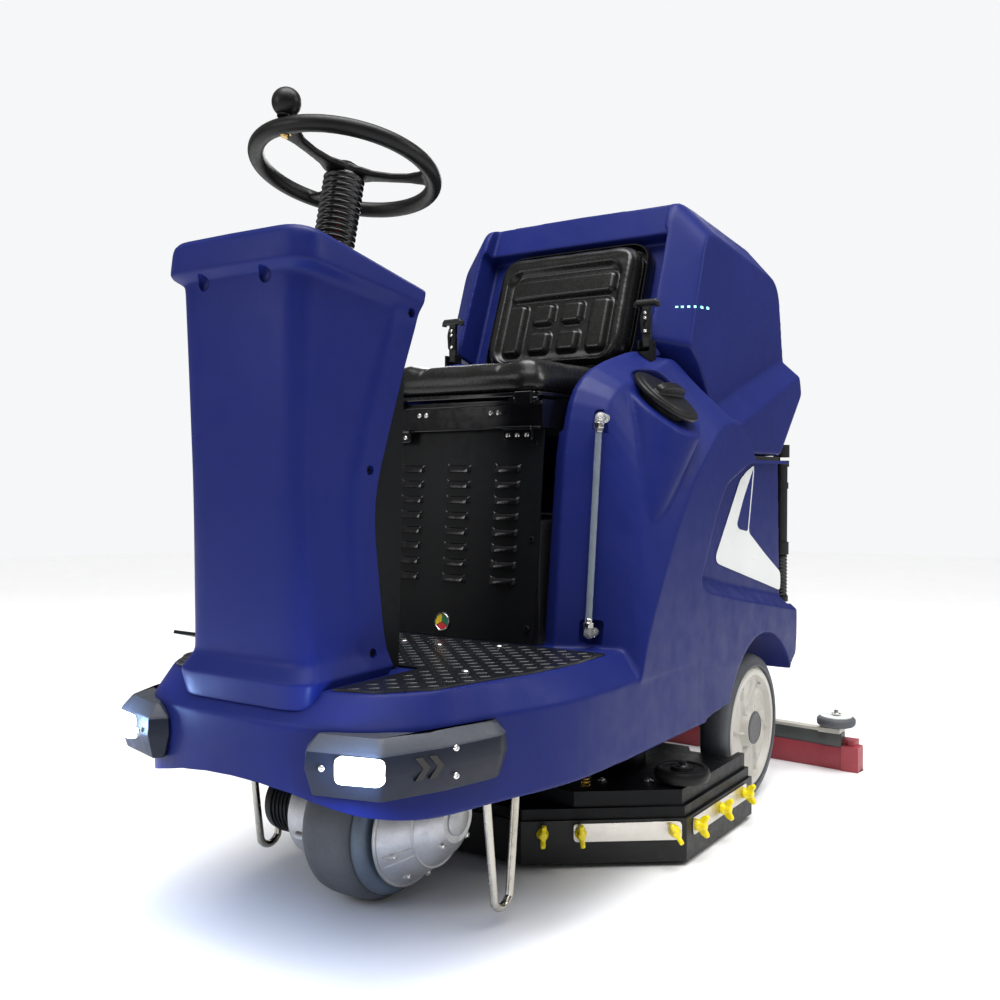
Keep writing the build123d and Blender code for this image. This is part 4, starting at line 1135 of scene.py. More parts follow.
def puff(obj, cap):
    """Blow a pad up as cloth, keep each point within a cap in mm of its start, and relax it."""
    start = [v.co.copy() for v in obj.data.vertices]
    cloth = obj.modifiers.new("cloth", "CLOTH")
    cloth.settings.use_pressure = True
    cloth.settings.uniform_pressure_force = PRESSURE
    cloth.settings.effector_weights.gravity = 0
    for step in range(1, PUFF_FRAMES + 1):
        scene.frame_set(step)
    bake(obj)
    scene.frame_set(1)
    for vertex, origin in zip(obj.data.vertices, start):
        move = vertex.co - origin
        if move.length > cap * MM:
            vertex.co = origin + move.normalized() * cap * MM
    smoothing(obj, RELAX_ROUNDS)
    bake(obj)


def subdivide(obj):
    """A finer mesh for the pressed and sewn shapes."""
    obj.modifiers.new("fine", "SUBSURF").levels = 1
    bake(obj)


def smooth_step(x):
    """From 0 to 1 with level ends."""
    x = min(1.0, max(0.0, x))
    return x * x * (3 - 2 * x)


def pad_height(u, v, half_u, half_v, corner, high, edge):
    """Height of a raised, rounded rectangle centred on the origin."""
    du = abs(u) - (half_u - corner)
    dv = abs(v) - (half_v - corner)
    away = math.hypot(max(du, 0), max(dv, 0)) + min(max(du, dv), 0) - corner
    if away >= 0:
        return 0.0
    return high * math.sin(0.5 * math.pi * min(1.0, -away / edge))


BACK_TOP, BACK_LOW = 296.0, -8.0
# Each pad on the back: centre, half width, half height, corner.
BACK_PADS = ((0, 194, 144, 30, 17), (-39, 124, 31, 30, 15), (39, 124, 31, 30, 15),
             (-39, 51, 31, 30, 15), (39, 51, 31, 30, 15), (-114, 88, 28, 69, 16),
             (114, 88, 28, 69, 16))


def back_relief(u, v):
    """How far the back cushion's face stands out at a point."""
    height = -pad_height(u, v - 124, 158, 124, 40, 15.0, 15.0)
    for cu, cv, half_u, half_v, corner in BACK_PADS:
        height += pad_height(u - cu, v - cv, half_u, half_v, corner, 14.0, 12.0)
    roll = math.exp(-((abs(u) - 177) / 14.0) ** 2) + math.exp(-((v - 271) / 14.0) ** 2)
    return height + 5.0 * min(roll, 1.0)


def back_cushion():
    """The cushion for the back, with its pressed pads."""
    w0, w1 = -57.7, -8.0
    pad = cushion_form("back_pad", BACK, 193, (BACK_LOW, BACK_TOP), (w0, w1), 60, 2, 24)
    pad = remesh(pad, 5, 4)
    puff(pad, 3.5)
    subdivide(pad)
    origin = at(*BACK.o)
    for vertex in pad.data.vertices:
        away = vertex.co - origin
        u, v, w = away.dot(BACK.x) / MM, away.dot(BACK.y) / MM, away.dot(BACK.z) / MM
        if w > w1 - 8:
            share = smooth_step((w - (w1 - 8)) / 8)
            vertex.co += BACK.z * (back_relief(u, v) * share * MM)
        back_limit = w0 + 0.2
        if w < back_limit:
            vertex.co += BACK.z * ((back_limit - w) * MM)
    piece(pad, "recovery", VINYL, ("back_cushion",), 180)


def seat_relief(u, v):
    """Height of the seat's face: bolsters at the sides, a dip and two sewn lines."""
    bolster = 10 * smooth_step((abs(u) - 100) / 55) * (1 - smooth_step((abs(u) - 160) / 34) * 0.5)
    dip = -7 * math.exp(-(u / 85.0) ** 2) * math.exp(-((v - 450) / 110.0) ** 2)
    line = -3.5 * math.exp(-((abs(u) - 98) / 5.0) ** 2)
    front = 5 * math.exp(-((v - 290) / 30.0) ** 2) * math.exp(-(u / 120.0) ** 2)
    return bolster + dip + line + front


PAN_TOP = 945.4        # the seat pan, which the cushion rests on


def seat_cushion():
    """The cushion of the seat, with its bolsters and seams."""
    low, top = 945.6, 1000.0
    pad = cushion_form("seat_pad", WORLD, 194, (252, 594), (low, top), 46, 4, 22)
    pad = remesh(pad, 5.5, 4)
    puff(pad, 5)
    subdivide(pad)
    for vertex in pad.data.vertices:
        x, y, z = vertex.co.x / MM, vertex.co.y / MM + ORIGIN_Y, vertex.co.z / MM
        if z > top - 14:
            vertex.co.z += seat_relief(x, y) * smooth_step((z - top + 14) / 14) * MM
        vertex.co.z = max(vertex.co.z, PAN_TOP * MM)
    piece(pad, "seat", VINYL, ("seat_cushion",), 180)


def pad_shell():
    """The black plastic shell that wraps the back cushion's edges."""
    shell = cushion_form("back_shell", BACK, 205, (-16, 308), (-71, -36), 62, 1, 4)
    hollow = cushion_form("hollow", BACK, 199, (-10, 302), (-58.5, 20), 58, 1, 0)
    cut(shell, hollow)
    piece(shell, "recovery", GLOSS, ("back_pan",), 35)


seat_cushion()
back_cushion()
pad_shell()


# ---------------------------------------------------------------- headlights

LAMP_TURN = math.radians(18)
# Above this height the housings' up-facing faces get the painted top light.
PAINTED_LIGHT_Z = 373
LAMP_CENTRE = Vector((267, -345, LAMP_Z))
LAMP_OUT = Vector((math.sin(LAMP_TURN), -math.cos(LAMP_TURN), 0))
HOUSING_PLAN = [(158, -344), (180, -370), (300, -338), (345, -232), (371, -128), (362, -100),
                (340, -100), (300, -240), (175, -322)]
HOUSING_REACH = [2, 2, 8, 12, 8, 3, 3, 6, 4]
HOUSING_LEVELS = ((304, 12), (306, 10), (338, 2), (342, 1), (346, 0), (372, 2), (376, 4),
                  (392, 17), (395, 20))


def shrink(outline, distance):
    """An outline moved in by a distance."""
    count = len(outline)
    made = []
    for i in range(count):
        a, p, b = (Vector(outline[j % count]) for j in (i - 1, i, i + 1))
        e, f = (p - a).normalized(), (b - p).normalized()
        normal = Vector((-e.y - f.y, e.x + f.x)).normalized()
        scale = max(0.5, normal.dot(Vector((-e.y, e.x))))
        made.append(p + normal * (distance / scale))
    return made


def headlights():
    """Both housings with their lenses, chevrons, screws and glow."""
    rings = []
    for z, inward in HOUSING_LEVELS:
        ring = rounded(shrink(HOUSING_PLAN, inward), HOUSING_REACH, 4)
        rings.append([at(p[0], p[1], z) for p in ring])
    housing = skin("housing", rings)
    lamp = Place(LAMP_CENTRE, (math.cos(LAMP_TURN), math.sin(LAMP_TURN), 0), LAMP_OUT)
    opening = rounded(box((-40, 40), (-22, 22)), 12)
    cut(housing, skin("opening", [[lamp(u * 0.94, v * 0.9, 3) for u, v in opening],
                                  [lamp(u, v, 12) for u, v in opening],
                                  [lamp(u * 1.1, v * 1.12, 40) for u, v in opening]]))
    lens_out = rounded(box((-38, 38), (-20, 20)), 11)
    lens = skin("lens", [[lamp(u * k, v * k, w) for u, v in lens_out]
                         for k, w in ((1, -4), (1, 6), (0.95, 9.5), (0.6, 11.5), (0.2, 12))])
    chevrons = []
    side_run = Vector((345 - 300, -232 + 338, 0)).normalized()
    side_out = Vector((side_run.y, -side_run.x, 0))
    face = Place(Vector((322, -284, 347)), side_run, side_out)
    for shift in (10, 34):
        arms = [(-12 + shift, 17), (0 + shift, 17), (14 + shift, 0), (0 + shift, -17),
                (-12 + shift, -17), (2 + shift, 0)]
        chevrons.append(prism("chevron", face, arms, -6, 1.4))
    seats = (Place(LAMP_CENTRE + Vector((-57, -20, 0)), (1, 0, 0), (0.27, -0.96, 0)),
             face.moved(70, 22, -2), face.moved(70, -20, -2))
    heads = [screw_head(seat, 5, 3) for seat in seats]
    sets = ((housing, "headlight_housing", CHARCOAL, "charcoal_plastic", "headlight_housings"),
            (lens, "headlight_lens", LAMP, "lamp_lens", "headlight_lenses"),
            (join("c", chevrons), "headlight_chevrons", GLOSS, "charcoal_plastic", None),
            (join("s", heads), "headlight_screws", SCREW, "screw_steel", None))
    for part, name, material, slot, node in sets:
        for side, copy in (("left", part), ("right", mirrored(part, name + "_right"))):
            copy.name = name + "_" + side
            if part is housing:
                bevel(copy, 2.0, 2, 35)
            piece(copy, "machine", material, (node,) if node and side == "left" else (),
                  35)
            if part is housing:
                # Up-facing faces high on the housing take the lighter grey: painted light from
                # above, not a colour of the plastic.
                copy.data.materials.append(PAINTED_TOP_LIGHT)
                for face in copy.data.polygons:
                    if face.normal.z > 0.25 and face.center.z > PAINTED_LIGHT_Z * MM:
                        face.material_index = 1
    for side in (-1, 1):
        glow = bpy.data.lights.new("lamp_light", "POINT")
        glow.energy = 2.4
        glow.color = (0.35, 0.55, 1.0)
        glow.shadow_soft_size = 0.03
        spot = LAMP_CENTRE + LAMP_OUT * 42
        add("lamp_light", glow).location = at(spot.x * side, spot.y, spot.z)


headlights()


# ---------------------------------------------------------------- drive unit

def drive_unit():
    """Fixings, seams and ribs on the cast gearbox, and the wheel's ring."""
    rings, bolts = [], []
    for x, z, radius in ((88, 141, 103), (150, 159.5, 75.5)):
        seat = outward(x, STEER_Y, z)
        rings.append(ring_of("seam", seat, [(radius - 3, -3), (radius + 1.2, -3),
                                            (radius + 1.8, 0), (radius + 1.2, 3),
                                            (radius - 3, 3)], 72))
    for i in range(7):
        a = math.radians(200 + i * 40)
        seat = outward(112, STEER_Y + 86 * math.cos(a), 146 + 86 * math.sin(a))
        rings.append(turned("boss", seat, [(8, -14), (8, 3), (6.5, 5), (0.1, 5)], 24))
        bolts.append(screw_head(seat.moved(0, 0, 5), 5, 4))
    for a in (-150, -162, -40):
        c, s = math.cos(math.radians(a)), math.sin(math.radians(a))
        rings.append(tube("rib", [(x, STEER_Y + r * c, z + r * s) for x, z, r in
                                  ((98, 143, 97), (117, 148, 87.5), (150, 159, 75.5))], 2.2, 8))
    end = outward(194, STEER_Y, 176)
    rings.append(turned("end_cap", end, [(30, -2), (30, 2), (26, 4), (0.1, 4.5)], 48))
    for i in range(4):
        a = math.radians(45 + i * 90)
        seat = outward(184, STEER_Y + 50 * math.cos(a), 172 + 50 * math.sin(a))
        rings.append(turned("boss", seat, [(7, -14), (7, 2), (5.5, 3.5), (0.1, 3.5)], 24))
        bolts.append(screw_head(seat.moved(0, 0, 3.5), 4.5, 4))
    cover = outward(-84, STEER_Y, DRIVE_R, -1)
    rings.append(ring_of("cover", cover, [(92, 0), (96.5, 0), (97, 12), (96.5, 24), (88, 52),
                                          (84, 54), (60, 54.5), (54, 53), (54, 50)], 72))
    for i in range(6):
        a = math.radians(15 + i * 60)
        seat = cover.moved(72 * math.cos(a), 72 * math.sin(a), 54)
        rings.append(turned("boss", seat, [(9, -3), (9, 2), (7.5, 4), (0.1, 4)], 24))
        bolts.append(screw_head(seat.moved(0, 0, 4), 5, 4))
        a = math.radians(45 + i * 60)
        lug = cover.moved(95 * math.cos(a), 95 * math.sin(a), 0)
        rings.append(turned("lug", lug, [(10, 2), (10, 20), (8, 23), (0.1, 23)], 20))
        bolts.append(screw_head(lug.moved(0, 0, 23), 5, 4))
    piece(join("motor_castings", rings), "drive_unit", CAST, (), 40)
    piece(join("motor_bolts", bolts), "drive_unit", SCREW)
    for side in (-1, 1):
        place = outward(0, STEER_Y, DRIVE_R, side)
        piece(ring_of("rim_ring_" + ("right" if side < 0 else "left"), place,
                      [(86, 48), (121, 48), (124, 54), (122, 62), (116, 69), (104, 73),
                       (88, 72), (86, 68)], 72), "drive_wheel", RING_GREY, (), 50)
    drum = outward(-161, STEER_Y, DRIVE_R, -1)
    fins = [ring_of("fin", drum, [(56, w), (60.5, w), (60.5, w + 3), (56, w + 3)], 48)
            for w in (10, 20, 30, 40, 50)]
    piece(join("brake_fins", fins), "drive_unit", BLACK_STEEL)
    profile = [(98.1, -60), (112, -61), (124, -60), (132, -55), (137, -47), (139.4, -34),
               (140, -18), (140, 14), (139.4, 26), (136.5, 38), (130, 46), (122, 49), (112, 50),
               (98.1, 50)]
    piece(ring_of("drive_tread", DRIVE, profile, 96), "drive_wheel", TYRE,
          ("drive_tyre",), 50)


LOOP_X, LOOP_BAR_R = 283, 7.4


def loops():
    """The bent steel bar on each side that the machine is lashed down by."""
    for side, name in SIDES:
        x = LOOP_X * side
        bend = [(x, -46, 299), (x, -46, 262), (x, -44, 230), (x, -25, 72), (x, -18, 46),
                (x, 1, 37), (x, 20, 46), (x, 27, 72), (x, 45, 230), (x, 47, 262),
                (x, 47, 299)]
        piece(tube("loop_" + name, curve_points(bend, 6), LOOP_BAR_R, 20), "machine", STEEL,
              ("tie_down_loops",) if side > 0 else (), 60)


drive_unit()
loops()


# ---------------------------------------------------------------- rear wheels

HUB_FACE = 380.0
HUB_RINGS = (0.5, 8, 16, 24, 30, 34, 38, 41, 44, 47, 50, 54, 58, 64, 70, 76, 82, 88, 94, 100,
             106, 110, 113, 116, 119, 122, 125, 128, 132, 136, 140, 143, 146)
HUB_STEPS = 180


def hub_height(r, a):
    """How far the wheel centre's face stands out from its flat at a radius and angle."""
    rim = smooth_step((r - 118) / 8) * (1 - smooth_step((r - 138) / 6) * 0.5)
    height = -14 + 14 * rim
    boss = 1 - smooth_step((r - 40) / 10)
    height += 17 * boss
    turn = (a + (r - 84) * 0.0045) / (2 * math.pi) * 6
    near = abs(turn - round(turn)) * 2 * math.pi / 6 * r
    if 44 < r < 122:
        height += 7 * (1 - smooth_step((near - 1) / 3.5))
        sector = (turn - math.floor(turn)) - 0.5
        u = sector * 2 * math.pi / 6 * r
        v = r - 84
        away = math.hypot(u, max(0.0, -v + 4)) - 20 if v < 4 else abs(u) - 20
        if r < 112:
            height -= 3.5 * (1 - smooth_step((away + 3) / 7))
    return height


def rear_hub(side, name):
    """One rear wheel: its centre, cap and tyre."""
    place = outward(HUB_FACE * side, AXLE_Y, REAR_R, side)
    rings = []
    for r in HUB_RINGS:
        rings.append([place(r * math.cos(a), r * math.sin(a), hub_height(r, a))
                      for a in [2 * math.pi * i / HUB_STEPS for i in range(HUB_STEPS)]])
    for r, w in ((146, -66), (120, -67), (40, -60), (40, -75), (14, -75), (12.2, -74)):
        rings.append([place(u, v, w) for u, v in circle(r, HUB_STEPS)])
    piece(skin("hub_" + name, rings), "rear_wheel_" + name, HUB,
          ("rear_hub_" + name,), 40)
    piece(turned("hub_cap_" + name, place, [(39, 2), (39, 5), (36, 7), (34, 7), (33, 6),
                                            (0.1, 6.2)], 64),
          "rear_wheel_" + name, HUB_CAP)
    profile = [(146.1, -66), (160, -68), (170, -62), (175, -50), (176, -34), (175, -18),
               (170, -6), (161, -1), (152, 0), (150.5, 1.5), (148, 1.5), (146.1, 0)]
    piece(ring_of("rear_tread_" + name, place, profile, 128), "rear_wheel_" + name, TYRE,
          ("rear_tyre_" + name,), 50)


rear_hub(1, "left")
rear_hub(-1, "right")


# ---------------------------------------------------------------- scrub deck

DECK_FACES = (((162, 252), (420, 453)), ((420, 453), (420, 802)))
STRIP_SPANS = ((102.0, 320.0), (26.0, 318.0))
KNOB_PLACES = ((40.0, 116.0, 304.0), (40.0, 170.0, 300.0))
SKIRT_T, STRIP_Z, STRIP_H, STRIP_T = 6.0, 72.0, 37.0, 2.5
KNOB_SCALE, KNOB_SEED = 1.22, 11
BUMPER_X, BUMPER_Y = 392, 503


def face_place(start, end, z):
    """On a skirt face: u along it, v up, w out."""
    run = Vector((end[0] - start[0], end[1] - start[1], 0)).normalized()
    return Place((start[0], start[1], z), run, (run.y, -run.x, 0))


def wing_knob():
    """A two-winged plastic knob on a round foot, in WORLD, its axis along w."""
    parts = [turned("foot", WORLD, [(10, 0), (10, 5), (7.5, 9), (7, 17), (5, 19), (0.1, 19)],
                    24)]
    for side in (-1, 1):
        wing = rounded([(0, 4), (6, 3), (15, 9), (20, 19), (16, 24), (9, 21), (4, 15), (0, 15)],
                       2.5, 3)
        rings = []
        for v, k in ((-4, 0.86), (-2.2, 1.0), (2.2, 1.0), (4, 0.86)):
            rings.append([WORLD((10 + (p[0] - 10) * k) * side, v, 13 + (p[1] - 13) * k)
                          for p in wing])
        parts.append(skin("wing", rings))
    return remesh(join("wing_knob", parts), 1.4, 3)


def deck_details():
    """Strips, wing knobs, bolts, bumper rollers and springs of the deck."""
    random.seed(KNOB_SEED)
    strips, knobs = [], []
    knob = wing_knob()
    home = Matrix.Translation(at(0, 0, 0))
    back = Matrix.Translation(-at(0, 0, 0))
    knob.data.transform(home @ Matrix.Scale(KNOB_SCALE, 4) @ back)
    for (start, end), span, places in zip(DECK_FACES, STRIP_SPANS, KNOB_PLACES):
        face = face_place(start, end, STRIP_Z)
        u0, u1 = span
        outline = rounded(box(span, (-STRIP_H / 2, STRIP_H / 2)), 9, 5)
        strips.append(prism("strip", face, outline, SKIRT_T + 0.1, SKIRT_T + STRIP_T))
        for u in places:
            spot = face.moved(u, 0, SKIRT_T + (STRIP_T if u0 < u < u1 else 0))
            turn = math.radians(random.uniform(-35, 35) + 90)
            along = spot.x * math.cos(turn) + spot.y * math.sin(turn)
            knobs.append(copied(knob, "knob", place_matrix(Place(spot.o, along, spot.z))))
    bpy.data.objects.remove(knob)
    strips = bevel(join("strips_left", strips), 0.6)
    knobs = join("knobs_left", knobs)
    for part, name, material, slot, node in (
            (strips, "strips_right", STRIP, "stainless_strip", "skirt_strips"),
            (knobs, "knobs_right", YELLOW, "yellow_plastic", "skirt_knobs")):
        other = mirrored(part, name)
        if part is strips:
            bevel(other, 0.6)
        piece(part, "deck", material, (node,), 50)
        piece(other, "deck", material, (), 50)

    bolts, nuts = [], []
    for side in (-1, 1):
        for x, y, z in ((BUMPER_X, BUMPER_Y, 184), (330, 470, 150), (330, 640, 150),
                        (250, 420, 150), (120, 330, 150)):
            place = Place((x * side, y, z))
            bolts.append(screw_head(place, 8, 6))
            nuts.append(turned("washer", place, [(12, -0.5), (12, 1.6), (11, 2.2), (0.1, 2.2)],
                               32))
    piece(join("deck_bolts", bolts + nuts), "deck", SCREW)

    for side, name in SIDES:
        axis = Place((BUMPER_X * side, BUMPER_Y, 154))
        wheel = [(8.1, 0), (40, 0), (47, 1), (53, 3), (56, 8), (57, 15), (56, 22), (53, 27),
                 (47, 29), (44, 28), (42, 25), (24, 23), (22, 30), (8.1, 30)]
        piece(ring_of("bumper_" + name, axis, wheel, 72), name + "_bumper", PLASTIC,
              ("deck_roller_" + name,), 40)
    coil = []
    for i in range(140):
        a = i * 0.32
        coil.append((250 + 9 * math.cos(a), 352 + 9 * math.sin(a), 152 + i * 0.36))
    spring = tube("spring_left", coil, 1.5, 8)
    for part in (spring, mirrored(spring, "spring_right")):
        piece(part, "deck", GOLD)


deck_details()


# ---------------------------------------------------------------- fill cap and level tube

def fill_cap():
    """The filler cap and its grip."""
    place = CAP.moved(0, 0, 1)
    disc = turned("disc", place, [(57, -20), (57, -1), (78, 0), (80, 3), (80, 9), (77, 12),
                                  (66, 13), (64, 15.5), (62, 16), (0.1, 16.6)], 72)
    fin = [(-62, 14)]
    for i in range(13):
        a = math.pi * i / 12
        fin.append((-58 * math.cos(a), 16 + 22 * math.sin(a) ** 0.55))
    fin.append((62, 14))
    lugs = skin("fin", [[place(u * k, v, w) for u, w in fin]
                        for v, k in ((-9, 0.93), (-7.5, 1.0), (7.5, 1.0), (9, 0.93))])
    cap = join("filler_cap", [disc, lugs])
    remesh(cap, 1.8, 3)
    piece(cap, "filler", PLASTIC, ("fill_cap",), 60)


def level_tube():
    """The clear tube, its dark scale, its elbows and its nuts."""
    low, high = Vector((300, 272, 484)), Vector((300, 314, 886))
    clear_tube = tube("level_tube_clear", [low.lerp(high, t) for t in (0, 0.25, 0.5, 0.75, 1)],
                      6.5, 20)
    piece(clear_tube, "machine", CLEAR, ("level_tube",), 60)
    scale = tube("level_scale", [low.lerp(high, t) + Vector((0, 7.4, 0))
                                      for t in (0.02, 0.5, 0.98)], 1.2, 8)
    piece(scale, "machine", BLACK_STEEL, (), 60)
    fittings, nuts = [], []
    up = (high - low).normalized()
    for end, into, sign in ((low, Vector((300, 300, 478)), -1),
                            (high, Vector((300, 342, 892)), 1)):
        elbow = curve_points([end - up * (10 * sign), end, end + up * (9 * sign)
                              + Vector((0, 2, 0)), into], 5)
        fittings.append(tube("elbow", elbow, 8.5, 20))
        nuts.append(rod("nut", end - up * (14 * sign), end - up * (4 * sign), 11, count=6))
        nuts.append(rod("collar", end - up * (22 * sign), end - up * (14 * sign), 8.5, count=24))
    piece(join("level_elbows", fittings), "machine", FITTING, (), 60)
    piece(bevel(join("level_nuts", nuts), 0.8), "machine", SCREW)


fill_cap()
level_tube()


# ---------------------------------------------------------------- latches, lights, decals

def latch(side, name):
    """A rubber strap with a T-handle, and its slotted plate with three screws."""
    x, y, z = 262 * side, 600, 1062
    body = name + "_latch"
    front = Place((x, y - 7, z), (1, 0, 0), (0, -1, 0))
    strap = prism("strap", front, rounded([(-10, -4), (10, -4), (10.4, 30), (9, 60), (10, 88),
                                           (-10, 88), (-9, 60), (-10.4, 30)], 5), -9, 0)
    handle = rod("handle", (x - 25, y - 3, z + 94), (x + 25, y - 3, z + 94), 8, count=24)
    grip = [rod("tip", (x + 25 * s, y - 3, z + 96), (x + 27 * s, y - 3, z + 84), 6, count=20)
            for s in (-1, 1)]
    strap = remesh(join("latch_strap_" + name, [strap, handle, *grip]), 1.6, 3)
    strap.name = "latch_strap_" + name
    piece(strap, body, RUBBER, ("latch_" + name,), 60)
    plate = prism("latch_plate_" + name, front, rounded([(-10.5, 26), (10.5, 26), (13, 62),
                                                         (8, 80), (-8, 80), (-13, 62)], 6),
                  0.2, 3)
    cut(plate, prism("slot", front, rounded(box((-4, 4), (38, 55)), 4), -5, 9))
    piece(bevel(plate, 1.2), body, BLACK_STEEL)
    screws("latch_screws_" + name, body, [front.moved(0, v, 3) for v in (32, 61, 72)], 4.2, 2.4)


latch(1, "left")
latch(-1, "right")


def status_lights():
    """Two groups of three small status lights, round the edge of the tank's cheek."""
    lights = []
    for y, half in ((672, 3), (680, 3), (689, 3), (698, 2.4), (729, 5.5), (762, 5.5)):
        z = 1151 + (y - 648) * 0.075
        if y < 700:
            x, out = 262 + 71 * (y - 643) / 57, Vector((0.626, -0.78, 0))
        else:
            x, out = 333, Vector((1, 0, 0.15))
        seat = Place((x, y, z), Vector((-out.y, out.x, 0)), out)
        lights.append(block("light", seat, (-half, half), (-2.4, 2.4), (-12, 1.2)))
    piece(join("status_lights", lights), "recovery", LED)


status_lights()

DECAL = [(949, 806), (905, 792), (859, 772), (760, 655), (713, 600), (722, 586), (741, 580),
         (930, 536), (1130, 489), (1136, 500), (1136, 534), (1020, 590), (912, 646),
         (925, 700), (940, 760)]
DECAL_SLIT = [(940, 796), (880, 728), (838, 668), (850, 656), (906, 648), (918, 700)]
RECESS_X = 375         # the side recess's floor


def decals():
    """A plain two-part flash on each side panel."""
    for side, name in SIDES:
        base = side_prism("decal_" + name, RECESS_X * side, (RECESS_X + 0.7) * side,
                          rounded(DECAL, 14, 4))
        piece(base, "machine", WHITE)
        slit = side_prism("decal_slit_" + name, (RECESS_X + 0.2) * side,
                          (RECESS_X + 1.1) * side, rounded(DECAL_SLIT, 9, 4))
        piece(slit, "machine", BLUE)


decals()


# ---------------------------------------------------------------- hoses

def ribbed(points, radius, depth, pitch):
    """A corrugated hose along a dense line of points."""
    line, radii = [], []
    points = [Vector(p) for p in points]
    total = sum((b - a).length for a, b in zip(points, points[1:]))
    count = int(total / (pitch / 4))
    for i in range(count + 1):
        want = total * i / count
        k = 0
        run = 0.0
        while k < len(points) - 2 and run + (points[k + 1] - points[k]).length < want:
            run += (points[k + 1] - points[k]).length
            k += 1
        step = (points[k + 1] - points[k]).length
        line.append(points[k].lerp(points[k + 1], min(1.0, (want - run) / step)))
        radii.append(radius - depth * (0.5 - 0.5 * math.cos(math.pi * i / 2)))
    return tube("ribs", line, radii, 24)


DRAIN_X, DRAIN_Y = 352, 1206
PICKUP_END, MOTOR_END = (0, 1362, 140.3), (0, 1136.3, 620)


def drain_hose():
    """The hose behind the left rear corner, and its wire clip."""
    low, high = Vector((DRAIN_X, DRAIN_Y, 452)), Vector((DRAIN_X, DRAIN_Y, 860))
    smooth = tube("smooth", [low.lerp(high, t) for t in (0.3, 0.6, 0.9)], 16, 24)
    ribs = ribbed([low + Vector((0, 0, 8)), low.lerp(high, 0.16), low.lerp(high, 0.32)],
                      17, 2.4, 9)
    cuffs = [rod("cuff", low.lerp(high, a), low.lerp(high, b), r, count=32)
             for a, b, r in ((0.0, 0.035, 19), (0.3, 0.38, 20), (0.86, 0.9, 20),
                             (0.92, 1.0, 20.8), (0.72, 0.76, 18.5))]
    hose = join("rear_drain_hose", [smooth, ribs, *cuffs])
    piece(hose, None, RUBBER, ("drain_hose",), 35)
    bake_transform(hose)
    clip = []
    for i in range(15):
        a = math.pi * 2 * i / 14
        clip.append((DRAIN_X + 20 * math.cos(a) * 0.4, DRAIN_Y + 20 + 10 * math.sin(a),
                     800 - 20 + 18 * math.cos(a)))
    piece(tube("hose_clip", clip, 1.2, 8), "recovery", SCREW)


def vacuum_hose():
    """The suction hose, from the squeegee to the vacuum motor."""
    route = curve_points([PICKUP_END, (0, 1362, 200), (0, 1358, 260), (0, 1330, 420),
                          (0, 1290, 560), (0, 1230, 614), (0, 1180, 620), MOTOR_END], 6)
    hose = ribbed(route, 22, 3, 11)
    cuff = rod("cuff", PICKUP_END, (0, 1362, 190), 25, count=32)
    hose = join("vacuum_pickup_hose", [hose, cuff, rod("cuff", MOTOR_END, (0, 1165, 620), 26)])
    piece(hose, None, RUBBER, ("vacuum_hose",), 40)
    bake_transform(hose)


drain_hose()
vacuum_hose()


# ---------------------------------------------------------------- squeegee

ROLLER_X, ROLLER_Y = 467, 1316


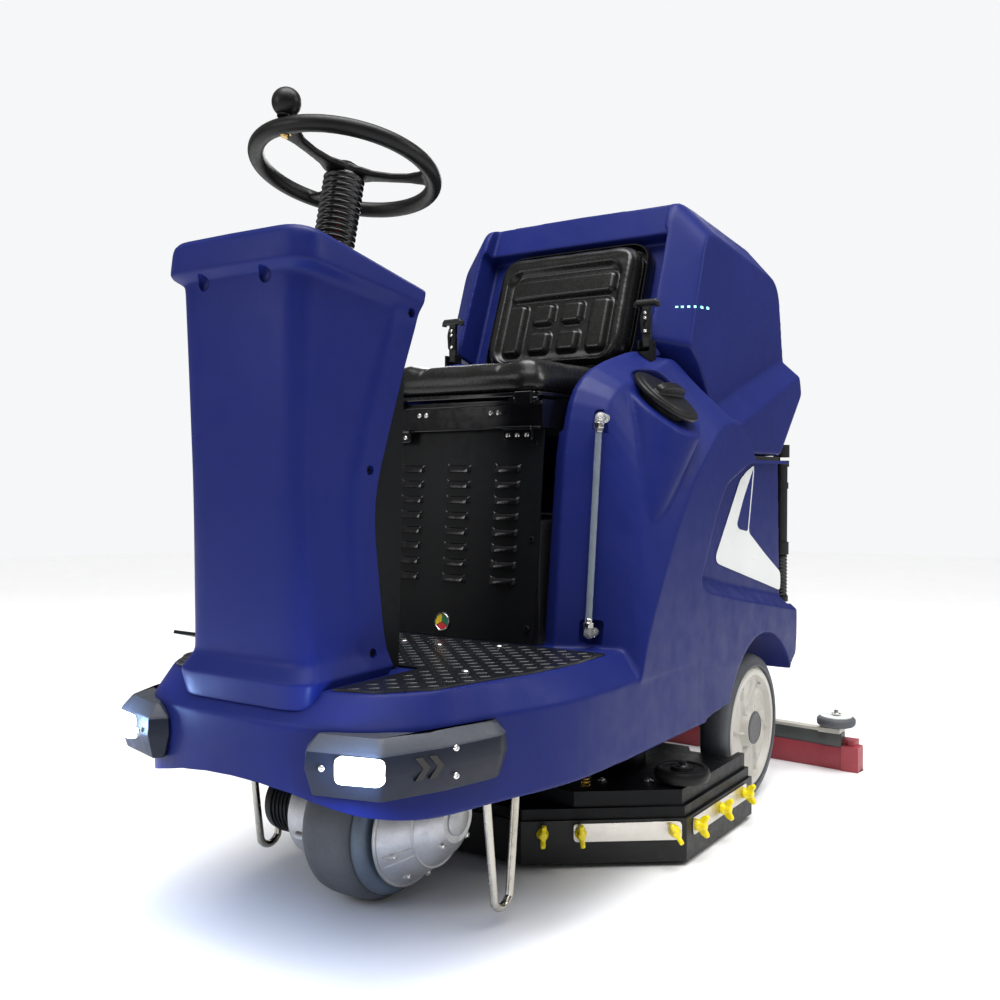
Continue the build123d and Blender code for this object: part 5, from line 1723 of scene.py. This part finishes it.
def squeegee_details():
    """Bolts and end rollers of the squeegee."""
    bolts, discs = [], []
    for x, y in ((-60, 1352), (60, 1352), (-250, 1347), (250, 1347), (-420, 1338),
                 (420, 1338)):
        place = Place((x, y, 96))
        bolts.append(screw_head(place, 8, 6))
        discs.append(turned("washer", place, [(12, -0.3), (12, 1.8), (0.1, 2.2)], 28))
    piece(join("squeegee_bolts", bolts + discs), "squeegee", SCREW)
    for side, name in SIDES:
        axis = Place((ROLLER_X * side, ROLLER_Y, 117))
        wheel = [(8.1, 0), (38, 0), (45, 2), (49, 6), (50, 13), (49, 20), (45, 24), (38, 26),
                 (8.1, 26)]
        piece(ring_of("squeegee_tyre_" + name, axis, wheel, 64), name + "_squeegee_roller",
              TYRE, ("squeegee_roller_" + name,), 40)
        piece(ring_of("squeegee_disc_" + name, axis, [(8.2, 25), (40, 25.4), (40, 27.6),
                                                      (36, 28.4), (8.2, 28.2)], 48),
              name + "_squeegee_roller", WHITE)
        piece(turned("roller_pin_" + name, Place((ROLLER_X * side, ROLLER_Y, 143)),
                     [(7, 0), (7, 5), (12, 5.4), (12, 8), (7, 9), (6, 16), (0.1, 16)], 24),
              "squeegee", SCREW)


def blade_ends():
    """The stepped red block that closes each end of the squeegee blades."""
    for side, name in SIDES:
        outline = rounded([(470, 1331), (494, 1331), (494, 1322), (514, 1322), (514, 1368),
                           (470, 1368)], 4, 3)
        rings = []
        for z, inward in ((22, 0), (24, 0), (72, 0), (78, 3)):
            rings.append([at(p[0] * side, p[1] + inward, z) for p in outline])
        piece(bevel(skin("blade_end_" + name, rings), 1.5), "squeegee", RED_RUBBER)


squeegee_details()
blade_ends()

# ---------------------------------------------------------------- finish

for node, material, edge in (
        ("chassis_frame", BLACK_STEEL, 0), ("platform_plate", TREAD, 0),
        ("cowl_rear_panel", BLACK_STEEL, 1.5), ("steering_column", BLACK_STEEL, 0),
        ("key_switch", SCREW, 0), ("stop_button", RED, 1.5), ("drive_yoke", CAST, 1),
        ("drive_motor", CAST, 3), ("drive_brake", BLACK_STEEL, 2), ("drive_rim", CAST, 1),
        ("deck_housing", BLACK_STEEL, 2), ("deck_skirts", RUBBER, 0),
        ("brush_motors", BLACK_STEEL, 3), ("brush_left", BRISTLE, 0),
        ("brush_right", BRISTLE, 0), ("lift_arms_front", BLACK_STEEL, 0),
        ("lift_arms_rear", BLACK_STEEL, 0), ("squeegee_arm", BEIGE, 1),
        ("squeegee_body", CHANNEL, 1), ("squeegee_blades", RED_RUBBER, 1),
        ("tank_lid", BLUE, 4), ("latch_bases", BLACK_STEEL, 2), ("seat_base", GLOSS, 4),
        ("seat_pan", GLOSS, 2), ("battery_door", BLACK_STEEL, 0), ("batteries", BATTERY, 5),
        ("vacuum_motor", BLACK_STEEL, 3), ("accelerator_pedal", BLACK_STEEL, 1),
        ("body_screws", SCREW, 0)):
    dress(node, material, edge)
